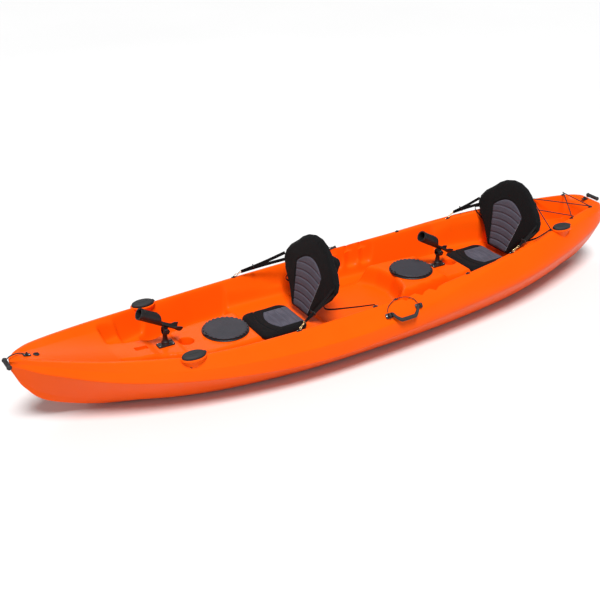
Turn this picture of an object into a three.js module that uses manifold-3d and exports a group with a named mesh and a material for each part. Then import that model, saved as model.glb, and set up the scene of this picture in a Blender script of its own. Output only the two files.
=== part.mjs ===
// A two-seat sit-on-top kayak: a hollow moulded hull with its hatches, seats, rod holders, handles and lines.
// Millimetres. +X points to the bow, +Y to port and +Z up. The origin is amidships on the flat of the keel.
import * as THREE from "three";
import { mergeVertices } from "three/addons/utils/BufferGeometryUtils.js";
import Module from "manifold-3d";

// ---------------------------------------------------------------- driving dimensions

// The hull's table of offsets, from stern to bow. Each row is a station: x, the keel's height, and then
// half-breadth and height of the bilge, the chine, the shoulder (the gunwale band's outer edge) and the ridge.
const STATIONS = [
  [-1885, 205, 28, 222, 60, 290, 56, 340, 40, 372],
  [-1840, 120, 56, 155, 116, 288, 108, 360, 74, 394],
  [-1700, 48, 92, 118, 186, 274, 164, 368, 124, 402],
  [-1400, 10, 168, 66, 286, 245, 240, 368, 200, 391],
  [-1000, 0, 240, 35, 374, 213, 308, 356, 280, 358],
  [-500, 0, 288, 25, 418, 180, 388, 294, 337, 327],
  [0, 0, 305, 24, 434, 148, 432, 232, 351, 314],
  [500, 0, 292, 22, 430, 147, 424, 226, 349, 303],
  [1000, 0, 224, 30, 367, 186, 357, 243, 312, 305],
  [1400, 24, 118, 68, 257, 238, 243, 287, 222, 340],
  [1700, 112, 42, 158, 132, 312, 122, 353, 112, 380],
  [1810, 215, 17, 240, 62, 345, 57, 368, 50, 390],
  [1856, 312, 7, 318, 16, 350, 16, 366, 14, 380],
];
const KEEL_FLAT = 0.55; // the flat of the keel, as a share of the bilge's half-breadth
const SECTION_TENSION = 0.3; // how far a section bulges between its five lines
const WALL = 4.5; // thickness of the moulded skin
const RIM = 7; // half the width of the flat crest on the ridge
const GAP = 0.4; // clearance between pieces that touch

// Height of the deck along the centreline, from bow to stern, before the wells are sunk into it.
const DECK_PROFILE = [
  [1800, 384], [1700, 362], [1500, 305], [1360, 264], [1250, 247], [1180, 241], [1140, 223], [1028, 222],
  [1010, 213], [900, 208], [200, 208], [-300, 250], [-585, 250], [-600, 232], [-700, 230], [-1100, 266],
  [-1700, 266], [-1765, 378], [-1790, 386],
];
const DISH_STARTS = 1250; // the deck is level across up to here
const DISH_FULL = 1360; // and dished up to its rims from here to the bow
const DECK_SIDE = 52; // how far the deck's flat ends inside the ridge

// The wells: outline at the floor (x, y), the floor's height and the draft of the walls in degrees.
const FOOTWELL_DRAFT = 11;
const FRONT_FOOTWELL = [
  [1130, 120], [1120, 232], [1000, 262], [800, 290], [600, 298], [600, 178], [880, 172], [1000, 148],
];
const FRONT_FOOTWELL_FLOOR = 112;
// Treads ahead of the front footwell: x of the riser and of the tread's end, inner and outer y, and the floor.
const FRONT_TREADS = [
  { riser: 1240, end: 1100, inner: 104, outer: 205, flare: 42, floor: 165 },
  { riser: 1345, end: 1200, inner: 92, outer: 172, flare: 44, floor: 214 },
];
const REAR_FOOTWELL = [
  [-110, 200], [-110, 312], [-400, 300], [-800, 262], [-800, 162], [-620, 168], [-450, 188], [-300, 200],
];
const REAR_FOOTWELL_FLOOR = 132;
// x of the forward edge of each tooth in the rear footwell's outer walls.
const FOOT_BRACES = [-110, -215, -310];
const BRACE_LENGTH = 92;
const BRACE_DEPTH = 15;
const MID_WELL = [
  [215, -288], [215, 288], [150, 304], [-120, 312], [-215, 205], [-282, 105], [-306, 0], [-282, -105],
  [-215, -205], [-120, -312], [150, -304],
];
const MID_WELL_FLOOR = 145;
const FRONT_SEAT_WELL = [[606, -296], [606, 296], [400, 292], [206, 284], [206, -284], [400, -292]];
const FRONT_SEAT_FLOOR = 155;
const REAR_SEAT_WELL = [[-784, -256], [-784, 256], [-960, 240], [-1150, 200], [-1150, -200], [-960, -240]];
const REAR_SEAT_FLOOR = 185;
const SEAT_DRAFT = 10;

const CUP = { radius: 38, depth: 60, at: [968, -731] };
const SLOT = { x: 1215, length: 70, width: 34, depth: 22 };
const SCUPPER_RADIUS = 15;
const SCUPPERS = [[800, 235], [-560, 232], [-1400, 95]];

const HATCHES = [{ name: "front", x: 745, z: 208 }, { name: "rear", x: -452, z: 250 }];
const HATCH = { hole: 105, throat: 98, flange: 125, lid: 118, sides: 28 };
const FLUSH_HOLDERS = [{ name: "front", x: 1070, y: 306 }, { name: "rear", x: -1378, y: 232 }];
const FLUSH = { bore: 21, tube: 24, depth: 105, tilt: 20, long: 62, wide: 38, flange: 4 };
const ROD_HOLDERS = [{ name: "front", x: 1084, z: 223 }, { name: "rear", x: -643, z: 233 }];
const ROD = {
  length: 90, width: 46, plate: 8, pivot: 88, tilt: 30, pipe: 28, bore: 23, above: 45, fore: 175, aft: 75,
};
const HANDLE = { front: -12, rear: -192, y: 402, slope: 46, seat: 5, stand: 22, reach: 32, radius: 9 };
// Each seat: x of its back's hinge, its floor, where its side straps end and where its back straps run.
const SEATS = [
  {
    name: "front", x: 298, floor: FRONT_SEAT_FLOOR,
    hook: [470, 336, 334], aft: [[252, 216, 292], [60, 344, 334]],
  },
  {
    name: "rear", x: -1092, floor: REAR_SEAT_FLOOR,
    hook: [-985, 292, 386], aft: [[-1138, 268, 390], [-1290, 232, 406]],
  },
];
const SEAT = { pad: 294, padHalf: 149, padThick: 28, thick: 36, lean: 14, half: 272, height: 446 };
const PACK = { wide: 236, tall: 200, deep: 92, low: 152 };
const EYELETS = [{ name: "front_seat", x: 508 }, { name: "mid", x: 46 }, { name: "rear_seat", x: -942 }];
const BOW_EYE = 1778;
const STERN_EYE = -1800;
const TOGGLE = { radius: 13, length: 92, bow: [1874, 362], stern: [-1868, 402] };
const BUNGEE = { radius: 3, at: [-1305, -1515, -1727], above: 8 };
const DRAIN = 1734;
const SIDES = [{ name: "port", sign: 1 }, { name: "starboard", sign: -1 }];

// ---------------------------------------------------------------- materials

function material(color, roughness, metalness = 0) {
  return new THREE.MeshStandardMaterial({ color, roughness, metalness });
}
const orange = material(0xff5a14, 0.35);
const blackPlastic = material(0x17171a, 0.5);
const greyPlastic = material(0x3a3d46, 0.55);
const rubber = material(0x141414, 0.8);
const blackFabric = material(0x111114, 0.9);
const webbing = material(0x0d0d0f, 0.85);
const cordBlack = material(0x101012, 0.7);

// ---------------------------------------------------------------- shapes

const wasm = await Module();
wasm.setup();

/** A closed geometry as a solid that can be cut and joined. */
function solid(geometry) {
  const bare = geometry.index ? geometry.toNonIndexed() : geometry.clone();
  bare.deleteAttribute("normal");
  bare.deleteAttribute("uv");
  const merged = mergeVertices(bare, 1e-3);
  const vertProperties = merged.attributes.position.array;
  const triVerts = new Uint32Array(merged.index.array);
  return new wasm.Manifold(new wasm.Mesh({ numProp: 3, vertProperties, triVerts }));
}

/** A solid back as a three.js geometry. */
function geometryOf(body) {
  const mesh = body.getMesh();
  const geometry = new THREE.BufferGeometry();
  geometry.setAttribute("position", new THREE.BufferAttribute(mesh.vertProperties, 3));
  geometry.setIndex(new THREE.BufferAttribute(mesh.triVerts, 1));
  geometry.computeVertexNormals();
  return geometry;
}

const join = (...geometries) => geometryOf(geometries.map(solid).reduce((a, b) => a.add(b)));
const cut = (geometry, ...tools) =>
  geometryOf(tools.map(solid).reduce((a, b) => a.subtract(b), solid(geometry)));

/** A closed skin through rings of equally many points, capped at both ends. */
function loft(rings) {
  const count = rings[0].length;
  const faces = [];
  rings.slice(1).forEach((ring, r) => {
    ring.forEach((point, i) => {
      const next = (i + 1) % count;
      const [a, b, c, d] = [r * count + i, r * count + next, (r + 1) * count + next, (r + 1) * count + i];
      faces.push([a, b, c], [a, c, d]);
    });
  });
  const level = rings[0].every((point) => Math.abs(point.z - rings[0][0].z) < 1e-6);
  const flat = (point) => (level ? new THREE.Vector2(point.x, point.y) : new THREE.Vector2(point.y, point.z));
  const last = (rings.length - 1) * count;
  const clockwise = THREE.ShapeUtils.isClockWise(rings[0].map(flat));
  const facing = (a, b, c) => (clockwise ? [a, c, b] : [a, b, c]);
  const near = THREE.ShapeUtils.triangulateShape(rings[0].map(flat), []);
  const far = THREE.ShapeUtils.triangulateShape(rings[rings.length - 1].map(flat), []);
  near.forEach(([a, b, c]) => faces.push(facing(a, c, b)));
  far.forEach(([a, b, c]) => faces.push(facing(last + a, last + b, last + c)));
  const geometry = new THREE.BufferGeometry().setFromPoints(rings.flat());
  geometry.setIndex(faces.flat());
  if (solid(geometry).volume() < 0) geometry.setIndex(faces.flatMap(([a, b, c]) => [a, c, b]));
  return geometry;
}

/** An outline moved outwards by a distance; it runs anticlockwise. */
function grow(outline, distance) {
  return outline.map(([x, y], i) => {
    const [beforeX, beforeY] = outline[(i + outline.length - 1) % outline.length];
    const [afterX, afterY] = outline[(i + 1) % outline.length];
    const a = new THREE.Vector2(x - beforeX, y - beforeY).normalize();
    const b = new THREE.Vector2(afterX - x, afterY - y).normalize();
    const mitre = distance / (1 + a.dot(b));
    return [x + mitre * (a.y + b.y), y - mitre * (a.x + b.x)];
  });
}

/** An outline turned anticlockwise. */
function anticlockwise(outline) {
  const clockwise = THREE.ShapeUtils.isClockWise(outline.map(([x, y]) => new THREE.Vector2(x, y)));
  return clockwise ? [...outline].reverse() : outline;
}

const mirrored = (outline) => outline.map(([x, y]) => [x, -y]).reverse();
const ringAt = (outline, z) => outline.map(([x, y]) => new THREE.Vector3(x, y, z));

/** An upright oval of points, its long half along x. */
function oval(x, y, long, wide, count = 24) {
  return Array.from({ length: count }, (_, i) => {
    const angle = (2 * Math.PI * i) / count;
    return [x + long * Math.cos(angle), y + wide * Math.sin(angle)];
  });
}

/** A profile of [radius, height] turned about Z. */
function lathe(profile, segments = 32) {
  const points = profile.map(([radius, height]) => new THREE.Vector2(radius, height));
  return new THREE.LatheGeometry(points, segments).rotateX(Math.PI / 2);
}

/** A round bar along a curve through the points. */
function bar(points, radius, steps, sides = 8) {
  const section = new THREE.Shape(
    oval(0, 0, radius, radius, sides).map(([x, y]) => new THREE.Vector2(x, y)),
  );
  const curve = new THREE.CatmullRomCurve3(points.map((point) => new THREE.Vector3(...point)));
  return new THREE.ExtrudeGeometry(section, { steps, extrudePath: curve, bevelEnabled: false });
}

/** A plate with its outline in XY, standing up from z = 0, with bevelled edges. */
function plate(outline, thickness, bevel = 0) {
  const shape = new THREE.Shape(outline.map(([x, y]) => new THREE.Vector2(x, y)));
  const options = {
    depth: thickness - 2 * bevel, bevelEnabled: bevel > 0, bevelThickness: bevel, bevelSize: bevel,
    bevelOffset: -bevel, bevelSegments: 1, curveSegments: 6,
  };
  return new THREE.ExtrudeGeometry(shape, options).translate(0, 0, bevel);
}

/** The outline of a rectangle with rounded corners, centred on the origin. */
function roundedRectangle(length, width, radius, steps = 3) {
  const outline = [];
  [[1, 1, 0], [-1, 1, 90], [-1, -1, 180], [1, -1, 270]].forEach(([sx, sy, start]) => {
    for (let i = 0; i <= steps; i += 1) {
      const angle = THREE.MathUtils.degToRad(start + (90 * i) / steps);
      outline.push([
        sx * (length / 2 - radius) + radius * Math.cos(angle),
        sy * (width / 2 - radius) + radius * Math.sin(angle),
      ]);
    }
  });
  return outline;
}

const cylinder = (radius, height, segments = 20) =>
  new THREE.CylinderGeometry(radius, radius, height, segments).rotateX(Math.PI / 2);

// ---------------------------------------------------------------- hull

const LINES = [0, 1, 2, 3, 4].map(
  (line) =>
    new THREE.CatmullRomCurve3(
      STATIONS.map(([x, keel, ...pairs]) =>
        line === 0
          ? new THREE.Vector3(x, KEEL_FLAT * pairs[0], keel)
          : new THREE.Vector3(x, pairs[2 * line - 2], pairs[2 * line - 1]),
      ),
      false,
      "catmullrom",
    ),
);
const RIDGE = LINES[4];

/** Where a line of the hull is at a given x. */
function lineAt(line, x) {
  let [low, high] = [0, 1];
  for (let i = 0; i < 30; i += 1) {
    const middle = (low + high) / 2;
    if (line.getPoint(middle).x < x) low = middle;
    else high = middle;
  }
  return line.getPoint(low);
}

/** One half section, from the flat of the keel to the ridge, moved inwards by an inset. */
function halfSection(share, inset, divisions) {
  const points = LINES.map((line) => line.getPoint(share));
  const x = points[0].x;
  const flat = points.map((point) => new THREE.Vector3(0, point.y, point.z));
  const curve = new THREE.CatmullRomCurve3(flat, false, "catmullrom", SECTION_TENSION);
  const half = Array.from({ length: divisions + 1 }, (_, i) => curve.getPoint(i / divisions));
  half.forEach((point) => point.setZ(Math.max(point.z, 0)));
  half[divisions].y += RIM;
  return half.map((point, i) => {
    const before = i === 0 ? new THREE.Vector3(0, 0, point.z) : half[i - 1];
    const after = i === divisions ? new THREE.Vector3(0, 0, point.z) : half[i + 1];
    const along = after.clone().sub(before).normalize();
    return new THREE.Vector3(x, point.y - inset * along.z, point.z + inset * along.y);
  });
}

/** The hull's outside with no deck sunk into it. */
function hullBody(inset, rings, divisions, from, to) {
  return loft(
    Array.from({ length: rings }, (_, i) => {
      const half = halfSection(from + ((to - from) * i) / (rings - 1), inset, divisions);
      const other = half.map((point) => new THREE.Vector3(point.x, -point.y, point.z)).reverse();
      return [...half, ...other];
    }),
  );
}

/** Height read off a list of [x, height], in straight runs. */
function profileAt(profile, x) {
  const i = Math.max(1, profile.findIndex(([px]) => px <= x));
  const [[x0, z0], [x1, z1]] = [profile[i - 1], profile[i]];
  return THREE.MathUtils.mapLinear(x, x0, x1, z0, z1);
}

/** The space above the deck, between the two gunwales. */
function aboveDeck(extra) {
  const above = 300;
  const stations = DECK_PROFILE.map(([x]) => x);
  return loft(
    stations.map((x, i) => {
      const ridge = lineAt(RIDGE, x);
      const centre = profileAt(DECK_PROFILE, x) - extra;
      const dish = THREE.MathUtils.smoothstep(x, DISH_STARTS, DISH_FULL) * 0.6 * (ridge.z - 12 - centre);
      const top = Math.max(ridge.y - RIM, 12) + extra;
      const side = Math.max(ridge.y - DECK_SIDE, 0.55 * ridge.y) + extra;
      const half = [
        [0, centre], [0.5 * side, centre + 0.25 * dish], [side, centre + dish],
        [top, ridge.z], [top, above + ridge.z],
      ];
      const beyond = i === 0 ? extra : i === stations.length - 1 ? -extra : 0;
      const port = half.map(([y, z]) => new THREE.Vector3(x + beyond, y, z));
      const starboard = half.slice(1).map(([y, z]) => new THREE.Vector3(x + beyond, -y, z)).reverse();
      return [...port, ...starboard];
    }),
  );
}

/** A well sunk to a floor, its walls opening upwards by the draft; extra makes it larger all round. */
function well(outline, floor, draft, extra, top = 345) {
  const base = grow(anticlockwise(outline), extra);
  const spread = (top - floor) * Math.tan(THREE.MathUtils.degToRad(draft));
  return loft([ringAt(base, floor - extra), ringAt(grow(base, spread), top)]);
}

/** The outline of a tread in the front footwell. */
function treadOutline({ riser, end, inner, outer, flare }) {
  return [[riser, inner], [riser, outer], [end, outer + flare], [end, inner]];
}

/** One tooth of the foot braces in the port wall: it widens going aft and then tapers back. */
function braceOutline(x) {
  const ridge = lineAt(RIDGE, x - BRACE_LENGTH / 2).y;
  const inside = ridge - 60;
  const wall = ridge - 14;
  return [
    [x, inside], [x, wall], [x - 0.45 * BRACE_LENGTH, wall + BRACE_DEPTH],
    [x - BRACE_LENGTH, wall], [x - BRACE_LENGTH, inside],
  ];
}

/** Every well, with the scuppers that drain them through the hull. */
function wells(extra) {
  const sided = [
    [FRONT_FOOTWELL, FRONT_FOOTWELL_FLOOR, FOOTWELL_DRAFT],
    [REAR_FOOTWELL, REAR_FOOTWELL_FLOOR, FOOTWELL_DRAFT],
    ...FRONT_TREADS.map((tread) => [treadOutline(tread), tread.floor, FOOTWELL_DRAFT]),
    ...FOOT_BRACES.map((x) => [braceOutline(x), REAR_FOOTWELL_FLOOR + 50, 4]),
  ];
  const made = sided.flatMap(([outline, floor, draft]) => [
    well(outline, floor, draft, extra),
    well(mirrored(outline), floor, draft, extra),
  ]);
  made.push(well(MID_WELL, MID_WELL_FLOOR, 14, extra));
  made.push(well(FRONT_SEAT_WELL, FRONT_SEAT_FLOOR, SEAT_DRAFT, extra));
  made.push(well(REAR_SEAT_WELL, REAR_SEAT_FLOOR, SEAT_DRAFT, extra));
  CUP.at.forEach((x) => {
    const floor = profileAt(DECK_PROFILE, x) - CUP.depth;
    made.push(well(oval(x, 0, CUP.radius, CUP.radius, 16), floor, 3, extra));
  });
  const slot = roundedRectangle(SLOT.length, SLOT.width, 8, 2).map(([x, y]) => [x + SLOT.x, y]);
  made.push(well(slot, profileAt(DECK_PROFILE, SLOT.x) - SLOT.depth, 4, extra));
  SCUPPERS.forEach(([x, y]) => {
    SIDES.forEach(({ sign }) => {
      made.push(cylinder(SCUPPER_RADIUS + extra, 600, 10).translate(x, sign * y, 260));
    });
  });
  return made;
}

/** The pads on the gunwales that the flush rod holders sit in, faired down into the hull's side. */
function flushPads(inset) {
  return FLUSH_HOLDERS.flatMap(({ x, y }) =>
    SIDES.map(({ sign }) => {
      const top = lineAt(RIDGE, x).z + 2;
      const rings = [[top - inset, 6, 6], [top - 22, 4, 3], [top - 76, -22, -6]];
      return loft(
        rings.map(([z, long, wide]) =>
          ringAt(oval(x, sign * y, FLUSH.long + long - inset, FLUSH.wide + wide - inset, 14), z),
        ),
      );
    }),
  );
}

/** A bar along the bore of a flush rod holder, its mouth at the origin. */
function flushBar(radius, above, below, segments = 16) {
  return cylinder(radius, above + below, segments)
    .translate(0, 0, (above - below) / 2)
    .rotateY(-THREE.MathUtils.degToRad(FLUSH.tilt));
}

const union = (geometries) => geometries.map(solid).reduce((a, b) => a.add(b));
const flushMouth = ({ x, y }, sign) => [x, sign * y, lineAt(RIDGE, x).z + 2];

/** The moulded shell: its outside less the deck and wells, hollowed to its wall, with its holes cut. */
function hullShell() {
  const outside = solid(hullBody(0, 34, 8, 0, 1)).subtract(union([aboveDeck(0), ...wells(0)]));
  const body = hullBody(WALL, 18, 7, 0.045, 0.945);
  const room = solid(body).subtract(union([aboveDeck(WALL), ...wells(WALL)]));
  const padRoom = union(flushPads(WALL)).intersect(union([body, ...flushPads(WALL)]));
  let shell = outside.add(union(flushPads(0))).subtract(room.add(padRoom));
  HATCHES.forEach(({ x, z }) => {
    shell = shell.subtract(solid(cylinder(HATCH.hole, 40, 28).translate(x, 0, z)));
  });
  FLUSH_HOLDERS.forEach((holder) => {
    SIDES.forEach(({ sign }) => {
      const seat = plate(oval(0, 0, FLUSH.long + 1.5, FLUSH.wide + 1.5, 14), 30);
      const opening = join(seat, flushBar(FLUSH.tube + 1, 20, 72)).translate(...flushMouth(holder, sign));
      shell = shell.subtract(solid(opening));
    });
  });
  shell = shell.subtract(solid(cylinder(10, 60, 12).translate(DRAIN, 0, profileAt(DECK_PROFILE, DRAIN))));
  return geometryOf(shell.decompose().sort((a, b) => b.volume() - a.volume())[0]);
}

// ---------------------------------------------------------------- the assembly

const kayak = new THREE.Group();

/** Adds one named piece at a place, turned about Y and then about X. */
function add(name, geometry, skin, position = [0, 0, 0], turnY = 0, turnX = 0) {
  const mesh = new THREE.Mesh(geometry, skin);
  mesh.name = name;
  mesh.position.set(...position);
  mesh.rotation.set(turnX, turnY, 0, "XYZ");
  kayak.add(mesh);
}

add("hull_shell", hullShell(), orange);

/** A round deck hatch: a ring through the deck, a seal on it and a lid with a skirt and a finger tab. */
function addHatch({ name, x, z }) {
  const { throat, flange, lid } = HATCH;
  const ring = lathe([
    [throat, -24], [throat + 5, -24], [throat + 5, GAP], [flange, GAP], [flange, 5], [flange - 3, 7],
    [throat, 7], [throat, -24],
  ], HATCH.sides);
  const seal = lathe([[108, 7 + GAP], [115, 7 + GAP], [115, 9.4], [108, 9.4], [108, 7 + GAP]], HATCH.sides);
  const cover = lathe([
    [0, 11.5], [throat - 10, 11.5], [throat - 10, -10], [throat - 4, -10], [throat - 4, 9.8], [lid, 9.8],
    [lid + 1, 13], [lid - 3, 17], [0, 17],
  ], HATCH.sides);
  const tab = new THREE.BoxGeometry(14, 24, 6).translate(lid + 2, 0, 13);
  add(`${name}_hatch_ring`, ring, blackPlastic, [x, 0, z]);
  add(`${name}_hatch_seal`, seal, rubber, [x, 0, z]);
  add(`${name}_hatch_lid`, join(cover, tab), greyPlastic, [x, 0, z]);
}
HATCHES.forEach(addHatch);

/** A flush rod holder: a flanged blind tube sunk into the gunwale, and its push-in cap. */
function addFlushHolder(holder, { name: side, sign }) {
  const flange = plate(oval(0, 0, FLUSH.long, FLUSH.wide, 18), FLUSH.flange).translate(0, 0, GAP);
  const body = join(flange, flushBar(FLUSH.tube, 4, FLUSH.depth));
  const above = new THREE.BoxGeometry(80, 80, 40).translate(0, 0, FLUSH.flange + GAP + 20);
  const tube = cut(body, flushBar(FLUSH.bore, 20, FLUSH.depth - 4), above);
  const top = plate(oval(0, 0, FLUSH.long - 2, FLUSH.wide - 2, 18), 12, 4)
    .translate(0, 0, FLUSH.flange + 2 * GAP);
  const cap = join(top, flushBar(FLUSH.bore - 2, 10, 14, 12));
  add(`${holder.name}_${side}_flush_holder`, tube, blackPlastic, flushMouth(holder, sign));
  add(`${holder.name}_${side}_flush_cap`, cap, rubber, flushMouth(holder, sign));
}
FLUSH_HOLDERS.forEach((holder) => SIDES.forEach((side) => addFlushHolder(holder, side)));

/** An adjustable rod holder: base plate, swivel post with two ears, tilting cradle, and a bolt with its knob. */
function addRodHolder({ name, x, z }) {
  const { length, width, plate: base, pivot, pipe, bore, above, fore, aft } = ROD;
  const boss = 6;
  const foot = join(
    plate(roundedRectangle(length, width, 8), base, 1.5),
    cylinder(21, boss, 20).translate(0, 0, base + boss / 2),
  );
  add(`${name}_rod_holder_base`, foot, blackPlastic, [x, 0, z + GAP]);

  const bottom = base + boss + 2 * GAP;
  const across = (radius, from, to, segments = 16) =>
    new THREE.CylinderGeometry(radius, radius, to - from, segments).translate(0, (from + to) / 2, 0);
  const stem = lathe([
    [0, bottom], [20, bottom], [20, bottom + 8], [14, bottom + 14], [11, 66], [17, 72], [17, 76], [0, 76],
  ], 20);
  const ear = join(across(12, -19, 19), new THREE.BoxGeometry(24, 38, 18).translate(0, 0, -9))
    .translate(0, 0, pivot);
  const slot = new THREE.BoxGeometry(60, 25, 32).translate(0, 0, pivot + 3);
  const post = cut(join(stem, ear), slot, across(6.5, -40, 40).translate(0, 0, pivot));
  add(`${name}_rod_holder_post`, post, blackPlastic, [x, 0, z]);

  const along = (radius, from, to) =>
    cylinder(radius, to - from, 20).rotateY(Math.PI / 2).translate((from + to) / 2, 0, above);
  const hood = 120;
  const open = new THREE.BoxGeometry(fore + aft, 3 * pipe, 2 * pipe)
    .translate(fore - hood - (fore + aft) / 2, 0, above + pipe);
  const neck = join(across(12, -12, 12), new THREE.BoxGeometry(24, 24, 24).translate(0, 0, 12));
  const cradle = join(along(pipe, -aft, fore), neck);
  const shell = cut(cradle, along(bore, -aft - 5, fore + 5), open, across(6.5, -40, 40));
  const tilt = -THREE.MathUtils.degToRad(ROD.tilt);
  add(`${name}_rod_holder_cradle`, shell, blackPlastic, [x, 0, z + pivot], tilt);

  const knob = join(across(17, 19.8, 33, 8), across(5.5, -18, 21, 12));
  add(`${name}_rod_holder_knob`, knob, blackPlastic, [x, 0, z + pivot]);
}
ROD_HOLDERS.forEach(addRodHolder);

/** A carry handle on the top band: two brackets, the grip that swings between them and a paddle keeper. */
function addHandle({ name, sign }) {
  const { front, rear, y, slope, seat, stand, reach, radius } = HANDLE;
  const middle = (front + rear) / 2;
  const normal = [Math.sin(THREE.MathUtils.degToRad(slope)), Math.cos(THREE.MathUtils.degToRad(slope))];
  const foot = bandPoint(middle, y);
  const pin = [foot.y + stand * normal[0], foot.z + stand * normal[1]];
  [["front", front, 1], ["rear", rear, -1]].forEach(([end, x, outward]) => {
    const base = plate(roundedRectangle(44, 28, 6), 5, 1).translate(outward * 6, 0, 0);
    const lug = new THREE.BoxGeometry(14, 20, stand).translate(outward * 9, 0, stand / 2 + 4);
    const at = bandPoint(x, y);
    const place = [x, sign * (at.y + seat * normal[0]), at.z + seat * normal[1]];
    const turn = -sign * THREE.MathUtils.degToRad(slope);
    add(`${name}_handle_${end}_bracket`, join(base, lug), blackPlastic, place, 0, turn);
  });
  const drop = ([x, share]) => [x, sign * (pin[0] + share * reach), pin[1] - share * reach];
  const half = [[0.6, 0], [8, 0.02], [22, 0.5], [44, 0.94], [60, 1]];
  const route = [
    ...half.map(([x, share]) => [front - x, share]),
    ...half.map(([x, share]) => [rear + x, share]).reverse(),
  ];
  add(`${name}_handle_grip`, bar(route.map(drop), radius, 18, 8), rubber);

  const crest = lineAt(RIDGE, middle);
  const anchor = [sign * (y - 11), foot.z + 18];
  const ends = [[sign * (crest.y + 26), crest.z - 6], [sign * (crest.y + 12), crest.z + 10]];
  const keeper = [
    [front + 8, ...anchor], [front - 12, ...ends[0]], [middle + 30, ...ends[1]],
    [middle - 30, ...ends[1]], [rear + 12, ...ends[0]], [rear - 8, ...anchor],
  ];
  add(`${name}_paddle_keeper`, bar(keeper, 2, 20, 6), cordBlack);
}

/** The point of the gunwale's top band at a given y, between the ridge and the shoulder. */
function bandPoint(x, y) {
  const ridge = lineAt(RIDGE, x);
  const shoulder = lineAt(LINES[3], x);
  const share = (y - ridge.y - RIM) / (shoulder.y - ridge.y - RIM);
  return { y, z: THREE.MathUtils.lerp(ridge.z, shoulder.z, share) };
}
SIDES.forEach(addHandle);

/** A small pad eye: a plate with an arch over it, which a cord runs through along X. */
function padEye(length, width, arch, wire) {
  const base = plate(roundedRectangle(length, width, 4, 2), 3.5, 0.8);
  const loop = new THREE.TorusGeometry(arch, wire, 6, 12).rotateY(Math.PI / 2).translate(0, 0, 2.5);
  const below = new THREE.BoxGeometry(4 * arch, 4 * arch, 2 * arch).translate(0, 0, -arch);
  return join(base, cut(loop, below));
}

const slopeOf = (low, high) => -Math.atan2(high.z - low.z, high.x - low.x);

EYELETS.forEach(({ name, x }) => {
  const at = lineAt(RIDGE, x);
  const turn = slopeOf(lineAt(RIDGE, x - 15), lineAt(RIDGE, x + 15));
  SIDES.forEach(({ name: side, sign }) => {
    add(`${name}_${side}_eyelet`, padEye(30, 12, 5, 1.8), blackPlastic, [x, sign * at.y, at.z + 1], turn);
  });
});

/** A carry toggle: a barrel grip across the hull's end, on a short cord from its pad eye. */
function addToggle(name, eyeX, eyeZ, turn, [x, z], route) {
  add(`${name}_pad_eye`, padEye(36, 26, 10, 3), blackPlastic, [eyeX, 0, eyeZ], turn);
  const { radius, length } = TOGGLE;
  const end = length / 2;
  const profile = [
    [0, -end], [radius - 4, -end], [radius, 6 - end], [radius - 2.5, 0], [radius, end - 6],
    [radius - 4, end], [0, end],
  ];
  const grip = lathe(profile, 14).rotateX(Math.PI / 2);
  add(`${name}_toggle`, grip, rubber, [x, 0, z]);
  add(`${name}_toggle_cord`, bar(route, 2.8, 10, 8), cordBlack);
}
const onDeck = (x) => ({ x, z: profileAt(DECK_PROFILE, x) });
const bowTurn = slopeOf(onDeck(1701), onDeck(1799));
const bowDeck = profileAt(DECK_PROFILE, BOW_EYE) + 1.5;
addToggle("bow", BOW_EYE, bowDeck, bowTurn, TOGGLE.bow, [
  [BOW_EYE + 15, 0, bowDeck + 13], [1822, 0, 403], [1856, 0, 398], [1872, 0, 386],
  [TOGGLE.bow[0], 0, TOGGLE.bow[1] + TOGGLE.radius + GAP],
]);
const sternDeck = lineAt(RIDGE, STERN_EYE).z + 3;
addToggle("stern", STERN_EYE, sternDeck, 0, TOGGLE.stern, [
  [STERN_EYE - 16, 0, sternDeck + 12], [-1836, 0, 408],
  [TOGGLE.stern[0] + TOGGLE.radius + GAP, 0, TOGGLE.stern[1]],
]);

const plug = lathe([[0, -14], [6, -14], [6, 0.8], [15, 0.8], [15, 5], [8, 6], [8, 11], [0, 11]], 20);
add("drain_plug", plug, rubber, [DRAIN, 0, profileAt(DECK_PROFILE, DRAIN)], bowTurn);

/** A flat strap from a to b, standing on edge, whose width changes from one end to the other. */
function strap(a, b, widthA, widthB) {
  const across = new THREE.Vector3(b[0] - a[0], b[1] - a[1], 0).normalize();
  const side = new THREE.Vector3(-across.y, across.x, 0).multiplyScalar(1.25);
  const ring = (at, width) =>
    [[1, 1], [-1, 1], [-1, -1], [1, -1]].map(([s, up]) =>
      new THREE.Vector3(...at).addScaledVector(side, s).add(new THREE.Vector3(0, 0, (up * width) / 2)),
    );
  return loft([ring(a, widthA), ring(b, widthB)]);
}

/** The high-backed outline of a backrest, from its hinge line up: half width against height. */
const BACK_SHAPE = [
  [0, 96], [88, 160], [165, 236], [225, 271], [268, 266], [318, 232], [362, 178], [400, 138], [428, 92],
  [446, 30],
];

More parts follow.
